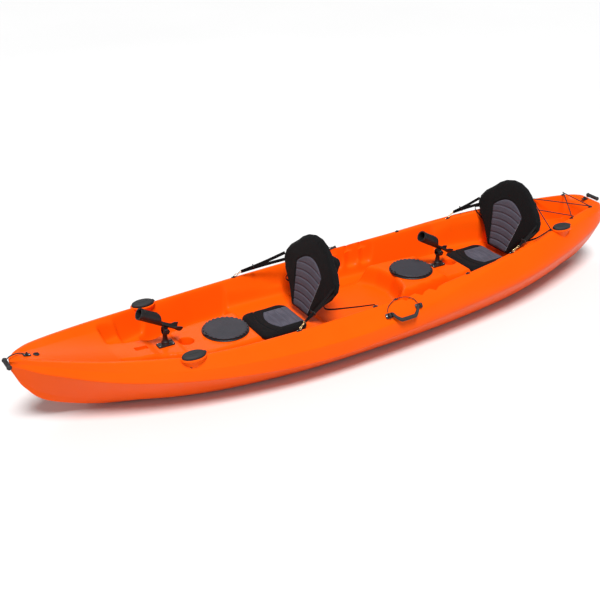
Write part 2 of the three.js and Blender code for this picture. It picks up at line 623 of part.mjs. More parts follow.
/** A padded seat: the pad on the hull, the backrest, the pack on its back and the straps that hold it up. */
function addSeat({ name, x, floor, hook, aft }) {
  const { pad, padHalf, padThick, thick, lean } = SEAT;
  const base = plate(roundedRectangle(pad, 2 * padHalf, 55, 4), padThick, 6);
  add(`${name}_seat_pad`, base, blackFabric, [x + 8 + pad / 2, 0, floor + GAP]);

  const upright = new THREE.Matrix4().makeBasis(
    new THREE.Vector3(0, 1, 0), new THREE.Vector3(0, 0, 1), new THREE.Vector3(1, 0, 0),
  );
  const hinge = [x, 0, floor + padThick + 3];
  const outline = [
    ...BACK_SHAPE.map(([height, half]) => [half, height]),
    ...BACK_SHAPE.map(([height, half]) => [-half, height]).reverse(),
  ];
  const turn = -THREE.MathUtils.degToRad(lean);
  const back = plate(outline, thick, 5).applyMatrix4(upright).translate(-thick, 0, 0);
  add(`${name}_backrest`, back, blackFabric, hinge, turn);
  const pack = plate(roundedRectangle(PACK.wide, PACK.tall, 30), PACK.deep, 8)
    .applyMatrix4(upright)
    .translate(-thick - PACK.deep - GAP, 0, PACK.low + PACK.tall / 2);
  add(`${name}_seat_pack`, pack, blackFabric, hinge, turn);

  const widest = 232;
  const edge = [x + widest * Math.sin(turn) - 10, SEAT.half + 5, hinge[2] + widest * Math.cos(turn)];
  SIDES.forEach(({ name: side, sign }) => {
    const on = ([px, py, pz]) => [px, sign * py, pz];
    add(`${name}_seat_${side}_strap`, strap(on(edge), on(hook), 56, 14), webbing);
    add(`${name}_seat_${side}_back_strap`, strap(on(aft[0]), on(aft[1]), 20, 8), webbing);
  });
}
SEATS.forEach(addSeat);

/** The bungee laced across the tank well from rim to rim; its second half crosses over its first. */
function bungee() {
  const knots = BUNGEE.at.map((x) => lineAt(RIDGE, x));
  const lace = [[0, 1], [1, -1], [2, 1], [2, -1], [1, 1], [0, -1]];
  const route = lace.map(([row, sign], i) => {
    const lift = BUNGEE.above + (i > 2 ? 9 : 0);
    return [knots[row].x, sign * (knots[row].y - 4), knots[row].z + lift];
  });
  const rounded = route.flatMap(([x, y, z], i) => {
    const before = route[Math.max(i - 1, 0)];
    const after = route[Math.min(i + 1, route.length - 1)];
    const turn = 0.06; // share of each run taken up by the bend at its end
    const towards = (other) => [x, y, z].map((value, axis) => value + (other[axis] - value) * turn);
    return i === 0 || i === route.length - 1 ? [[x, y, z]] : [towards(before), towards(after)];
  });
  return bar(rounded, BUNGEE.radius, 72, 6);
}
add("stern_bungee", bungee(), cordBlack);

export default kayak;
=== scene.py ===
"""The look of a two-seat sit-on-top kayak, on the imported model's frame. Metres, +X to the bow, +Z up."""

from math import cos, pi, radians, sin, tan

import bmesh
import bpy
import numpy as np
from mathutils import Matrix, Vector


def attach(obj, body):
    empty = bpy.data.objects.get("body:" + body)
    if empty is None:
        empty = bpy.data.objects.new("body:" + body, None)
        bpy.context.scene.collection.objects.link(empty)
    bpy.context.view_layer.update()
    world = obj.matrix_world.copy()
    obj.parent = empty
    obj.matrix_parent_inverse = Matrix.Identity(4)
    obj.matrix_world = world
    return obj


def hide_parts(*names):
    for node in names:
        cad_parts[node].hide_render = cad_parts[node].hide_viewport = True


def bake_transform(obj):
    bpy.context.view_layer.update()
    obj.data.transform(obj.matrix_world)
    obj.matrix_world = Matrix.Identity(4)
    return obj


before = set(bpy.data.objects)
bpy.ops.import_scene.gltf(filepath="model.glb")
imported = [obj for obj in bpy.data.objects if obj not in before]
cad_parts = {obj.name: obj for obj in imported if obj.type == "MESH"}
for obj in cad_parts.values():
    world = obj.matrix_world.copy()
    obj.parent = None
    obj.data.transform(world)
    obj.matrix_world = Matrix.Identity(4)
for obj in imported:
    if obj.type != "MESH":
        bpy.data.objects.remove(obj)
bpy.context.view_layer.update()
HULL = "hull_moulding"
MM = 0.001

# ---------------------------------------------------------------- camera

CAMERA_PLACE = (2.7554, 4.0596, 2.7873)
CAMERA_YAW = 31.257  # degrees from -Y towards -X
CAMERA_PITCH = 28.021  # degrees below the horizon
CAMERA_LENS = 59.9  # mm on a 36 mm sensor


def new_object(name, data, place=None):
    """A new object with this data in the scene, put where the matrix says."""
    obj = bpy.data.objects.new(name, data)
    if place is not None:
        obj.matrix_world = place
    bpy.context.collection.objects.link(obj)
    return obj


def facing(direction):
    """The turn that makes a camera or a light look along a direction."""
    return Vector(direction).to_track_quat("-Z", "Y").to_matrix().to_4x4()


def add_camera():
    yaw, pitch = radians(CAMERA_YAW), radians(CAMERA_PITCH)
    ahead = (-sin(yaw) * cos(pitch), -cos(yaw) * cos(pitch), -sin(pitch))
    data = bpy.data.cameras.new("camera")
    data.lens = CAMERA_LENS
    data.sensor_width = 36
    data.clip_end = 1000
    place = Matrix.Translation(CAMERA_PLACE) @ facing(ahead)
    bpy.context.scene.camera = new_object("camera", data, place)


add_camera()

# ---------------------------------------------------------------- materials


class Nodes:
    """A material's node tree, with short calls to add and join nodes."""

    def __init__(self, name):
        self.material = bpy.data.materials.new(name)
        self.material.use_nodes = True
        self.tree = self.material.node_tree
        self.tree.nodes.clear()
        self.output = self.tree.nodes.new("ShaderNodeOutputMaterial")
        self.shader = self.tree.nodes.new("ShaderNodeBsdfPrincipled")
        self.join(self.shader.outputs[0], self.output.inputs["Surface"])
        self.place = self.tree.nodes.new("ShaderNodeTexCoord").outputs["Object"]

    def join(self, a, b):
        self.tree.links.new(a, b)

    def noise(self, scale, detail=3, roughness=0.55):
        node = self.tree.nodes.new("ShaderNodeTexNoise")
        node.inputs["Scale"].default_value = scale
        node.inputs["Detail"].default_value = detail
        node.inputs["Roughness"].default_value = roughness
        self.join(self.place, node.inputs["Vector"])
        return node.outputs["Fac"]

    def bands(self, scale, direction, distortion=0.0):
        node = self.tree.nodes.new("ShaderNodeTexWave")
        node.bands_direction = direction
        node.inputs["Scale"].default_value = scale
        node.inputs["Distortion"].default_value = distortion
        self.join(self.place, node.inputs["Vector"])
        return node.outputs["Fac"]

    def between(self, value, low, high):
        node = self.tree.nodes.new("ShaderNodeMapRange")
        node.inputs["To Min"].default_value = low
        node.inputs["To Max"].default_value = high
        self.join(value, node.inputs["Value"])
        return node.outputs["Result"]

    def sum(self, a, b, operation="ADD"):
        node = self.tree.nodes.new("ShaderNodeMath")
        node.operation = operation
        self.join(a, node.inputs[0])
        self.join(b, node.inputs[1])
        return node.outputs[0]

    def shades(self, value, dark, light):
        node = self.tree.nodes.new("ShaderNodeMix")
        node.data_type = "RGBA"
        node.inputs[6].default_value = (*dark, 1)
        node.inputs[7].default_value = (*light, 1)
        self.join(value, node.inputs[0])
        self.join(node.outputs[2], self.shader.inputs["Base Color"])

    def rough(self, value, low, high):
        self.join(self.between(value, low, high), self.shader.inputs["Roughness"])

    def bump(self, value, strength, depth):
        node = self.tree.nodes.new("ShaderNodeBump")
        node.inputs["Strength"].default_value = strength
        node.inputs["Distance"].default_value = depth
        self.join(value, node.inputs["Height"])
        self.join(node.outputs[0], self.shader.inputs["Normal"])

    def set(self, **values):
        for name, value in values.items():
            self.shader.inputs[name.replace("_", " ")].default_value = value
        return self.material


def moulded_orange():
    n = Nodes("moulded_orange")
    n.shades(n.noise(2.5, 4), (0.84, 0.080, 0.001), (0.92, 0.104, 0.002))
    n.rough(n.noise(40, 4), 0.27, 0.40)
    n.bump(n.sum(n.noise(420, 2), n.noise(26, 2)), 0.05, 0.0012)
    return n.set(Specular_IOR_Level=0.06)


def moulded_black(name, dark, light, rough=(0.38, 0.58)):
    n = Nodes(name)
    n.shades(n.noise(14, 5), dark, light)
    n.rough(n.noise(90, 3), *rough)
    n.bump(n.noise(900, 3), 0.25, 0.0004)
    return n.set()


def soft_rubber():
    n = Nodes("soft_rubber")
    n.shades(n.noise(30, 5), (0.010, 0.010, 0.011), (0.022, 0.022, 0.024))
    n.rough(n.noise(60, 3), 0.62, 0.82)
    n.bump(n.noise(700, 2), 0.2, 0.0004)
    return n.set()


def woven(name, dark, light, pitch, rough=(0.75, 0.95), sheen=0.25):
    n = Nodes(name)
    weave = n.sum(n.bands(1 / (pitch * 3.18), "Y"), n.bands(1 / (pitch * 3.18), "Z"), "MULTIPLY")
    n.shades(n.sum(n.noise(22, 5), weave, "MULTIPLY"), dark, light)
    n.rough(n.noise(45, 4), *rough)
    n.bump(n.sum(weave, n.noise(60, 4)), 0.35, 0.0009)
    return n.set(Sheen_Weight=sheen, Sheen_Roughness=0.5, Specular_IOR_Level=0.15)


def braided(name, dark, light):
    n = Nodes(name)
    braid = n.sum(n.bands(170, "DIAGONAL", 1.5), n.bands(170, "X"), "MULTIPLY")
    n.shades(braid, dark, light)
    n.rough(n.noise(200, 2), 0.6, 0.85)
    n.bump(braid, 0.5, 0.0007)
    return n.set()


def bright_metal(name, dark, light):
    n = Nodes(name)
    n.shades(n.noise(80, 4), dark, light)
    n.rough(n.noise(300, 3), 0.18, 0.38)
    n.bump(n.noise(900, 2), 0.1, 0.0002)
    return n.set(Metallic=1.0)


ORANGE = moulded_orange()
BLACK = moulded_black("moulded_black", (0.004, 0.004, 0.005), (0.010, 0.010, 0.011))
CHARCOAL = moulded_black("hatch_charcoal", (0.016, 0.017, 0.024), (0.029, 0.031, 0.042), (0.5, 0.7))
RUBBER = soft_rubber()
FABRIC = woven("seat_black", (0.003, 0.003, 0.0035), (0.010, 0.010, 0.011), 0.0016, sheen=0.02)
PANEL = woven("seat_grey", (0.062, 0.060, 0.080), (0.155, 0.150, 0.190), 0.0022, (0.7, 0.9), 0.03)
# Painted highlight: a light grey line for the light caught along the backrest panel's port edge, the lit
# side.
EDGE_HIGHLIGHT_PAINT = woven("seat_edge_highlight_paint", (0.30, 0.29, 0.33), (0.55, 0.54, 0.60), 0.0012)
WEBBING = woven("webbing", (0.003, 0.003, 0.0035), (0.012, 0.012, 0.013), 0.0014, sheen=0.03)
CORD = braided("cord", (0.006, 0.006, 0.007), (0.030, 0.030, 0.033))
BRASS = bright_metal("brass", (0.55, 0.38, 0.16), (0.80, 0.62, 0.32))
STEEL = bright_metal("steel", (0.45, 0.45, 0.46), (0.70, 0.70, 0.71))

# ---------------------------------------------------------------- making and placing pieces


def shown(obj, material, body=HULL):
    """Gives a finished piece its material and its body."""
    if material is not None:
        obj.data.materials.clear()
        obj.data.materials.append(material)
    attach(obj, body)
    return obj


def mesh_object(name, points, faces, smooth=40):
    data = bpy.data.meshes.new(name)
    data.from_pydata([tuple(p) for p in points], [], [tuple(f) for f in faces])
    data.validate()
    obj = new_object(name, data)
    made = bmesh.new()
    made.from_mesh(data)
    bmesh.ops.remove_doubles(made, verts=made.verts, dist=1e-6)
    bmesh.ops.recalc_face_normals(made, faces=made.faces)
    made.to_mesh(data)
    made.free()
    shade(obj, smooth)
    return obj


def shade(obj, angle=40):
    """Smooth shading, with edges sharper than the angle left crisp."""
    data = obj.data
    data.polygons.foreach_set("use_smooth", [True] * len(data.polygons))
    made = bmesh.new()
    made.from_mesh(data)
    for edge in made.edges:
        edge.smooth = not (edge.is_manifold and edge.calc_face_angle(0) > radians(angle))
    made.to_mesh(data)
    made.free()


def apply_modifiers(obj):
    with bpy.context.temp_override(object=obj, active_object=obj, selected_objects=[obj]):
        for modifier in list(obj.modifiers):
            bpy.ops.object.modifier_apply(modifier=modifier.name)


def rings_to_mesh(name, rings, smooth=40, closed=True):
    """A skin through rings of equally many points; the first and last are capped when closed."""
    count = len(rings[0])
    points = [p for ring in rings for p in ring]
    faces = []
    for r in range(len(rings) - 1):
        for i in range(count):
            j = (i + 1) % count
            faces.append((r * count + i, r * count + j, (r + 1) * count + j, (r + 1) * count + i))
    if closed:
        faces.append(tuple(range(count))[::-1])
        faces.append(tuple((len(rings) - 1) * count + i for i in range(count)))
    return mesh_object(name, points, faces, smooth)


def turned(name, profile, at=(0, 0, 0), tilt=None, sides=64, hollow=False):
    """A profile of (radius, height) in mm turned about Z, tilted by a matrix and moved into place.

    A hollow one's profile ends where it starts, and makes a ring."""
    place = Matrix.Translation(at) @ (tilt or Matrix.Identity(4))
    rings = [
        [place @ Vector((r * cos(2 * pi * i / sides), r * sin(2 * pi * i / sides), h)) for i in range(sides)]
        for r, h in ((max(r * MM, 1e-5), h * MM) for r, h in profile)
    ]
    return rings_to_mesh(name, rings, closed=not hollow)


def line(name, points, radius, resolution=10, sides=3):
    """A smooth round line through the points, as a curve."""
    data = bpy.data.curves.new(name, "CURVE")
    data.dimensions = "3D"
    data.bevel_depth = radius
    data.bevel_resolution = sides
    data.use_fill_caps = True
    spline = data.splines.new("POLY")
    smooth = curve_points(points, np.linspace(0, 1, resolution * (len(points) - 1) + 1))
    spline.points.add(len(smooth) - 1)
    for point, co in zip(spline.points, smooth):
        point.co = (*co, 1)
    return new_object(name, data)


def curve_points(points, shares, tension=0.5):
    """Points at shares 0 to 1 along a uniform Catmull-Rom curve."""
    points = np.asarray(points, float)
    padded = np.vstack([2 * points[0] - points[1], points, 2 * points[-1] - points[-2]])
    spot = np.clip(np.asarray(shares, float), 0, 1) * (len(points) - 1)
    index = np.minimum(spot.astype(int), len(points) - 2)
    w = (spot - index)[:, None]
    before, start, end, after = (padded[index + k] for k in range(4))
    leave, arrive = tension * (end - before), tension * (after - start)
    cube = 2 * start - 2 * end + leave + arrive
    square = -3 * start + 3 * end - 2 * leave - arrive
    return start + leave * w + square * w**2 + cube * w**3


def joined(name, *objects):
    """Several meshes as one piece."""
    made = bmesh.new()
    for obj in objects:
        made.from_mesh(obj.data)
        bpy.data.objects.remove(obj)
    data = bpy.data.meshes.new(name)
    made.to_mesh(data)
    made.free()
    return new_object(name, data)


def block(name, size, at=(0, 0, 0), tilt=None, bevel=0.001):
    """A block with rounded edges."""
    made = bmesh.new()
    bmesh.ops.create_cube(made, size=1)
    bmesh.ops.scale(made, vec=size, verts=made.verts)
    bmesh.ops.bevel(made, geom=list(made.edges), offset=bevel, segments=3, affect="EDGES", profile=0.5)
    made.transform(Matrix.Translation(at) @ (tilt or Matrix.Identity(4)))
    data = bpy.data.meshes.new(name)
    made.to_mesh(data)
    made.free()
    obj = new_object(name, data)
    shade(obj)
    return obj


# ---------------------------------------------------------------- carry toggles and their cords

CORD_THICK = 0.0056
# The cords' routes, in metres, from the pad eye to the toggle, and where each toggle lies.
TOGGLES = [
    ("bow", [(1.793, 0, 0.3937), (1.822, 0, 0.403), (1.856, 0, 0.398), (1.872, 0, 0.386), (1.874, 0, 0.3754)],
     (1.874, 0, 0.362)),
    ("stern", [(-1.816, 0, 0.414), (-1.836, 0, 0.408), (-1.8546, 0, 0.402)], (-1.868, 0, 0.402)),
]
TOGGLE_RADIUS, TOGGLE_LENGTH = 13, 92


def add_toggle(end, route, at):
    body = f"{end}_carry_toggle"
    half = TOGGLE_LENGTH / 2
    profile = [(0, -half), (8, -half), (10.5, -half + 1.5), (TOGGLE_RADIUS, -half + 7)]
    for k in range(7):
        height = -30 + 10 * k
        profile += [(11.2, height - 3.5), (10.6, height), (11.2, height + 3.5)]
    profile += [(TOGGLE_RADIUS, half - 7), (10.5, half - 1.5), (8, half), (0, half)]
    across = Matrix.Rotation(pi / 2, 4, "X")
    toggle = turned(f"{end}_toggle_grip", profile, at, across, 48)
    shown(toggle, RUBBER, body)
    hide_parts(f"{end}_toggle")
    rope = line(f"{end}_cord", route, CORD_THICK / 2, 6)
    shown(rope, CORD, body)
    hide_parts(f"{end}_toggle_cord")
    steps = curve_points(route, np.linspace(0, 1, 200))
    length = float(np.linalg.norm(np.diff(steps, axis=0), axis=1).sum())


for toggle in TOGGLES:
    add_toggle(*toggle)

# ---------------------------------------------------------------- the hull's lines, as in the CAD

# x, the keel's height, then half-breadth and height of the bilge, chine, shoulder and ridge, in mm.
STATIONS = [
    (-1885, 205, 28, 222, 60, 290, 56, 340, 40, 372),
    (-1840, 120, 56, 155, 116, 288, 108, 360, 74, 394),
    (-1700, 48, 92, 118, 186, 274, 164, 368, 124, 402),
    (-1400, 10, 168, 66, 286, 245, 240, 368, 200, 391),
    (-1000, 0, 240, 35, 374, 213, 308, 356, 280, 358),
    (-500, 0, 288, 25, 418, 180, 388, 294, 337, 327),
    (0, 0, 305, 24, 434, 148, 432, 232, 351, 314),
    (500, 0, 292, 22, 430, 147, 424, 226, 349, 303),
    (1000, 0, 224, 30, 367, 186, 357, 243, 312, 305),
    (1400, 24, 118, 68, 257, 238, 243, 287, 222, 340),
    (1700, 112, 42, 158, 132, 312, 122, 353, 112, 380),
    (1810, 215, 17, 240, 62, 345, 57, 368, 50, 390),
    (1856, 312, 7, 318, 16, 350, 16, 366, 14, 380),
]
KEEL_FLAT = 0.55
SECTION_TENSION = 0.3
RIM = 7.0
DECK_PROFILE = [
    (1800, 384), (1700, 362), (1500, 305), (1360, 264), (1250, 247), (1180, 241), (1140, 223), (1028, 222),
    (1010, 213), (900, 208), (200, 208), (-300, 250), (-585, 250), (-600, 232), (-700, 230), (-1100, 266),
    (-1700, 266), (-1765, 378), (-1790, 386),
]
DISH = (1250, 1360)
DECK_SIDE = 52


def station_lines():
    """The five lines' control points: keel, bilge, chine, shoulder and ridge."""
    lines = [[(s[0], KEEL_FLAT * s[2], s[1]) for s in STATIONS]]
    lines += [[(s[0], s[2 * k], s[2 * k + 1]) for s in STATIONS] for k in (1, 2, 3, 4)]
    return np.array(lines, float)


LINES = station_lines()
SHARES = np.linspace(0, 1, 4001)
ALONG = curve_points(LINES[0], SHARES)[:, 0]
RIDGE_TABLE = curve_points(LINES[4], SHARES)
SHOULDER_TABLE = curve_points(LINES[3], SHARES)


def ridge(x):
    """Half-breadth and height of the ridge at x, in mm."""
    return np.interp(x, ALONG, RIDGE_TABLE[:, 1]), np.interp(x, ALONG, RIDGE_TABLE[:, 2])


def band(x, y):
    """Height of the top band between the ridge and the shoulder, in mm."""
    ry, rz = ridge(x)
    sy, sz = np.interp(x, ALONG, SHOULDER_TABLE[:, 1]), np.interp(x, ALONG, SHOULDER_TABLE[:, 2])
    return rz + (y - ry - RIM) / (sy - ry - RIM) * (sz - rz)


def deck_centre(x):
    xs, zs = zip(*reversed(DECK_PROFILE))
    return np.interp(x, xs, zs)


# ---------------------------------------------------------------- the hull's surface

COLUMN = 8.0  # mm between sections along the hull
ACROSS = 120  # cells across the deck
SIDE = 32  # cells down each side
CREASE = (-300, 300)  # mm over which the chine's crease sharpens towards the bow
WELL_BLEND, WELL_ROUND = 18, 7  # mm over which a well's top and bottom edges are eased
DISH_SHARE, DISH_DROP = 0.6, 12  # the bow's dish rises by this share towards this many mm below the rim
NARROWEST = 0.55  # least share of the half-breadth that is flat deck
EDGE_DROP = 1.5  # mm that the deck starts below the rim

FRONT_FOOTWELL = [
    (1130, 120), (1120, 232), (1000, 262), (800, 290), (600, 298), (600, 178), (880, 172), (1000, 148),
]
REAR_FOOTWELL = [
    (-110, 200), (-110, 312), (-400, 300), (-800, 262), (-800, 162), (-620, 168), (-450, 188), (-300, 200),
]
MID_WELL = [
    (215, -288), (215, 288), (150, 304), (-120, 312), (-215, 205), (-282, 105), (-306, 0), (-282, -105),
    (-215, -205), (-120, -312), (150, -304),
]
FRONT_SEAT_WELL = [(606, -296), (606, 296), (400, 292), (206, 284), (206, -284), (400, -292)]
REAR_SEAT_WELL = [(-784, -256), (-784, 256), (-960, 240), (-1150, 200), (-1150, -200), (-960, -240)]
FOOT_BRACES = (-110, -215, -310)
TREAD_BITE = 18  # mm that the treads reach further out than in the CAD, to bite into the rim
TREADS = [(1240, 1100, 104, 205, 42, 165), (1345, 1200, 92, 172, 44, 214)]


def brace(x):
    """A foot brace's tooth in the rear footwell's outer wall."""
    edge = float(ridge(x - 46)[0])
    return [(x, edge - 60), (x, edge - 14), (x - 41, edge + 1), (x - 92, edge - 14), (x - 92, edge - 60)]


def well_list():
    """Outline, floor, draft in degrees and whether it is mirrored, for every well in the deck."""
    wells = [(FRONT_FOOTWELL, 112, 11, True), (REAR_FOOTWELL, 132, 11, True)]
    for riser, end, inner, outer, flare, floor in TREADS:
        reach = outer + TREAD_BITE
        wells.append(([(riser, inner), (riser, reach), (end, reach + flare), (end, inner)], floor, 11, True))
    wells += [(brace(x), 182, 4, True) for x in FOOT_BRACES]
    wells += [(MID_WELL, 145, 14, False), (FRONT_SEAT_WELL, 155, 10, False), (REAR_SEAT_WELL, 185, 10, False)]
    return wells


def outside_distance(x, y, outline):
    """Distance from an outline, negative inside it."""
    best = np.full(x.shape, 1e9)
    inside = np.zeros(x.shape, bool)
    for (x0, y0), (x1, y1) in zip(outline, outline[1:] + outline[:1]):
        ex, ey = x1 - x0, y1 - y0
        t = np.clip(((x - x0) * ex + (y - y0) * ey) / (ex * ex + ey * ey), 0, 1)
        best = np.minimum(best, np.hypot(x - x0 - t * ex, y - y0 - t * ey))
        crosses = (y0 > y) != (y1 > y)
        inside ^= crosses & (x < ex * (y - y0) / (ey if ey else 1e-9) + x0)
    return np.where(inside, -best, best)


def soft_min(a, b, blend):
    h = np.maximum(blend - np.abs(a - b), 0) / blend
    return np.minimum(a, b) - h * h * blend / 4


def deck_height(x, y):
    """Height of the deck at each (x, y), in mm, with its wells sunk and its edges eased."""
    ry, rz = ridge(x)
    centre = deck_centre(x)
    t = np.clip((x - DISH[0]) / (DISH[1] - DISH[0]), 0, 1)
    dish = t * t * (3 - 2 * t) * DISH_SHARE * (rz - DISH_DROP - centre)
    side = np.maximum(ry - DECK_SIDE, NARROWEST * ry)
    top = np.maximum(ry - RIM, 12)
    away = np.abs(y)
    flat = centre + dish * np.minimum(away / side, 1) ** 2
    wall = centre + dish + (rz - centre - dish) * np.clip((away - side) / (top - side), 0, 1)
    z = np.where(away < side, flat, wall)
    z = np.where((x > DECK_PROFILE[0][0]) | (x < DECK_PROFILE[-1][0]), rz, z)
    for outline, floor, draft, both in well_list():
        d = outside_distance(x, np.abs(y) if both else y, outline)
        ramp = floor + 0.5 * (d + np.hypot(d, WELL_ROUND)) / tan(radians(draft))
        z = soft_min(z, ramp, WELL_BLEND)
    return z


def hull_sections():
    """Closed sections of the hull from stern to bow: across the deck, down one side and up the other."""
    xs = np.arange(-1885, 1856.1, COLUMN)
    xs = np.append(xs[:-1], 1856)
    shares = np.interp(xs, ALONG, SHARES)
    lines = np.array([curve_points(line, shares) for line in LINES])
    lines[4, :, 1] += RIM
    lines[:, :, 2] = np.maximum(lines[:, :, 2], 0)
    edge = lines[4, :, 1]
    across = np.sin(np.linspace(1, -1, ACROSS + 1) * 1.25) / sin(1.25)
    x = np.repeat(xs[:, None], ACROSS + 1, 1)
    y = edge[:, None] * across[None, :]
    z = deck_height(x, y)
    z[:, 1:-1] = 0.25 * (z[:, :-2] + 2 * z[:, 1:-1] + z[:, 2:])
    z[1:-1] = 0.25 * (z[:-2] + 2 * z[1:-1] + z[2:])
    z[:, 0] = z[:, -1] = lines[4, :, 2] - EDGE_DROP
    rings = []
    for i, station in enumerate(xs):
        crease = np.clip((station - CREASE[0]) / (CREASE[1] - CREASE[0]), 0, 1)
        tension = SECTION_TENSION * (1 - 0.85 * crease)
        half = curve_points(lines[::-1, i, 1:], np.linspace(0, 1, SIDE + 1)[1:], tension)
        half[:, 1] = np.maximum(half[:, 1], 0)
        deck = [(station, y[i, k], z[i, k]) for k in range(ACROSS + 1)]
        starboard = [(station, -hy, hz) for hy, hz in half]
        port = [(station, hy, hz) for hy, hz in half[::-1]]
        rings.append(np.array(deck + starboard + port))
    return rings


def domed(rings, step):
    """More sections past the last one, drawn in towards its middle, so that the end is round."""
    last = rings[-1]
    middle = last.mean(axis=0)
    return [
        middle + (last - middle) * (1, scale, scale) + np.array((offset * step, 0, 0))
        for offset, scale in ((3, 0.9), (5, 0.72), (6, 0.4))
    ]


# ---------------------------------------------------------------- holes and pads of the hull

HATCHES = [("front", 745, 208), ("rear", -452, 250)]
FLUSH = [("front", 1070, 306), ("rear", -1378, 232)]
FLUSH_TILT = 20
SCUPPERS = [(800, 235), (-560, 232), (-1400, 95)]
CUPS = (968, -731)
SLOT_X = 1215
SIDES = [("port", 1), ("starboard", -1)]
DRAIN_X = 1734


def flush_mouth(x, y, sign):
    return Vector((x, sign * y, float(ridge(x)[1]) + 2)) * MM


FLUSH_TURN = Matrix.Rotation(-radians(FLUSH_TILT), 4, "Y")


def oval_ring(x, y, z, long, wide, count=48):
    angles = [2 * pi * i / count for i in range(count)]
    return [(x + long * cos(a), y + wide * sin(a), z) for a in angles]


def flush_pads():
    """The pads that carry the flush holders, each through ovals at a height below the mouth."""
    pads = []
    for name, x, y in FLUSH:
        top = float(ridge(x)[1]) + 2
        levels = [(0, 2, 2), (-2, 5, 5), (-7, 6, 6), (-14, 2, 2), (-34, -16, -5), (-60, -34, -13)]
        for side, sign in SIDES:
            rings = [
                [Vector(p) * MM for p in oval_ring(x, sign * y, top + drop, 62 + long, 38 + wide)]
                for drop, long, wide in levels
            ]
            pads.append(rings_to_mesh(f"pad_{name}_{side}", rings))
    return pads


def rim_notch(x, sign):
    """The bite that one tooth of the foot braces takes out of the rim."""
    edge, top = (float(v) for v in ridge(x - 46))
    outline = [
        (x, edge - 34), (x - 3, edge + 4), (x - 34, edge + 20), (x - 84, edge - 8), (x - 90, edge - 34),
    ]
    rings = [
        [Vector((px, sign * (py + out), top + up)) * MM for px, py in outline]
        for up, out in ((-44, -9), (-37, -3), (40, 8))
    ]
    return rings_to_mesh("cutter", rings)


def hole_cutters():
    cutters = []

    def cone(x, y, profile):
        cutters.append(turned("cutter", profile, Vector((x, y, 0)) * MM, sides=48))

    for _, x, z in HATCHES:
        cone(x, 0, [(0, z - 30), (105, z - 30), (105, z + 40), (0, z + 40)])
        chamber = (0.208, 0.19, (z - 36) * MM)
        cutters.append(block("cutter", chamber, (x * MM, 0, (z + 12) / 2 * MM), bevel=0.01))
    for x in CUPS:
        z = float(deck_centre(x))
        cup = [(0, -60), (32, -60), (36, -56), (38.5, -7), (40, -3), (45, 3), (45, 30), (0, 30)]
        cone(x, 0, [(r, z + h) for r, h in cup])
    z = float(deck_centre(SLOT_X))
    slot_size = (0.070, 0.034, 0.060)
    cutters.append(block("cutter", slot_size, (SLOT_X * MM, 0, (z + 8) * MM), bevel=0.005))
    for x in FOOT_BRACES:
        for _, sign in SIDES:
            cutters.append(rim_notch(x, sign))
    for x, y in SCUPPERS:
        for sign in (1, -1):
            cone(x, sign * y, [(0, -20), (22, -20), (15, 24), (15, 200), (15, 420), (0, 420)])
    for _, x, y in FLUSH:
        for _, sign in SIDES:
            mouth = flush_mouth(x, y, sign)
            bore = [(0, -108), (24.5, -108), (24.5, 30), (0, 30)]
            cutters.append(turned("cutter", bore, mouth, FLUSH_TURN, 32))
            levels = (mouth.z / MM, mouth.z / MM + 30)
            seat = [[Vector(p) * MM for p in oval_ring(x, sign * y, z, 63.5, 39.5)] for z in levels]
            cutters.append(rings_to_mesh("cutter", seat))
    return cutters


def boolean(obj, tool, operation):
    modifier = obj.modifiers.new(operation, "BOOLEAN")
    modifier.operation = operation
    modifier.object = tool
    modifier.solver = "MANIFOLD"
    apply_modifiers(obj)
    bpy.data.objects.remove(tool)


def add_hull():
    sections = hull_sections()
    sections = domed(sections[::-1], -1)[::-1] + sections + domed(sections, 1)
    hull = rings_to_mesh("hull", [section * MM for section in sections], smooth=55)
    for pad in flush_pads():
        boolean(hull, pad, "UNION")
    for cutter in hole_cutters():
        boolean(hull, cutter, "DIFFERENCE")
    shade(hull, 42)
    shown(hull, ORANGE, HULL)
    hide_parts("hull_shell")
    return hull


add_hull()

# ---------------------------------------------------------------- hatches


def finish(name, parts, material, body=HULL, nodes=()):
    """Joins the parts of one piece, and says what it rides on and which CAD nodes it stands for."""
    obj = joined(name, *parts) if len(parts) > 1 else parts[0]
    obj.name = name
    shown(obj, material, body)
    if nodes:
        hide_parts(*nodes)
    return obj


def bent(name, parts, material, nodes=()):
    """Joins the parts of a soft piece that runs from the hull, at its start, to a body, at its end, and gives
    it its material in world space.
    """
    obj = joined(name, *parts)
    obj.data.materials.append(material)
    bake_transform(obj)
    if nodes:
        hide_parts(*nodes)


def add_hatch(end, x, z):
    at = Vector((x, 0, z)) * MM
    ring = [
        (98, -24), (103, -24), (103, 0.4), (124, 0.4), (125, 1.5), (125, 4.5), (123, 6.6), (106, 7), (99, 7),
        (98, 6), (98, -24),
    ]
    finish(f"{end}_ring", [turned("ring", ring, at, hollow=True, sides=96)], BLACK, HULL,
           [f"{end}_hatch_ring"])
    cover = [
        (0, 11.5), (88, 11.5), (88, -10), (94, -10), (94, 9.8), (110, 9.8), (113, 11), (113, 14),
        (110, 16.6), (106, 17), (104, 16.2), (102, 16), (60, 16.6), (0, 17),
    ]
    parts = [turned("cover", cover, at, sides=96)]
    lugs = 28
    for i in range(lugs):
        turn = Matrix.Rotation(2 * pi * (i + 0.5) / lugs, 4, "Z")
        spot = at + turn @ Vector((0.1135, 0, 0.0131))
        parts.append(block("lug", (0.010, 0.014, 0.0058), spot, turn, 0.0015))
    finish(f"{end}_lid", parts, CHARCOAL, f"{end}_hatch_cover", [f"{end}_hatch_lid"])
    catch = [
        block("catch", (0.015, 0.024, 0.007), at + Vector((0.1185, 0, 0.0135)), bevel=0.002),
        block("grip", (0.004, 0.018, 0.004), at + Vector((0.112, 0, 0.018)), bevel=0.0015),
    ]
    finish(f"{end}_hatch_catch", catch, BLACK, f"{end}_hatch_cover")


for hatch in HATCHES:
    add_hatch(*hatch)

# ---------------------------------------------------------------- flush rod holders


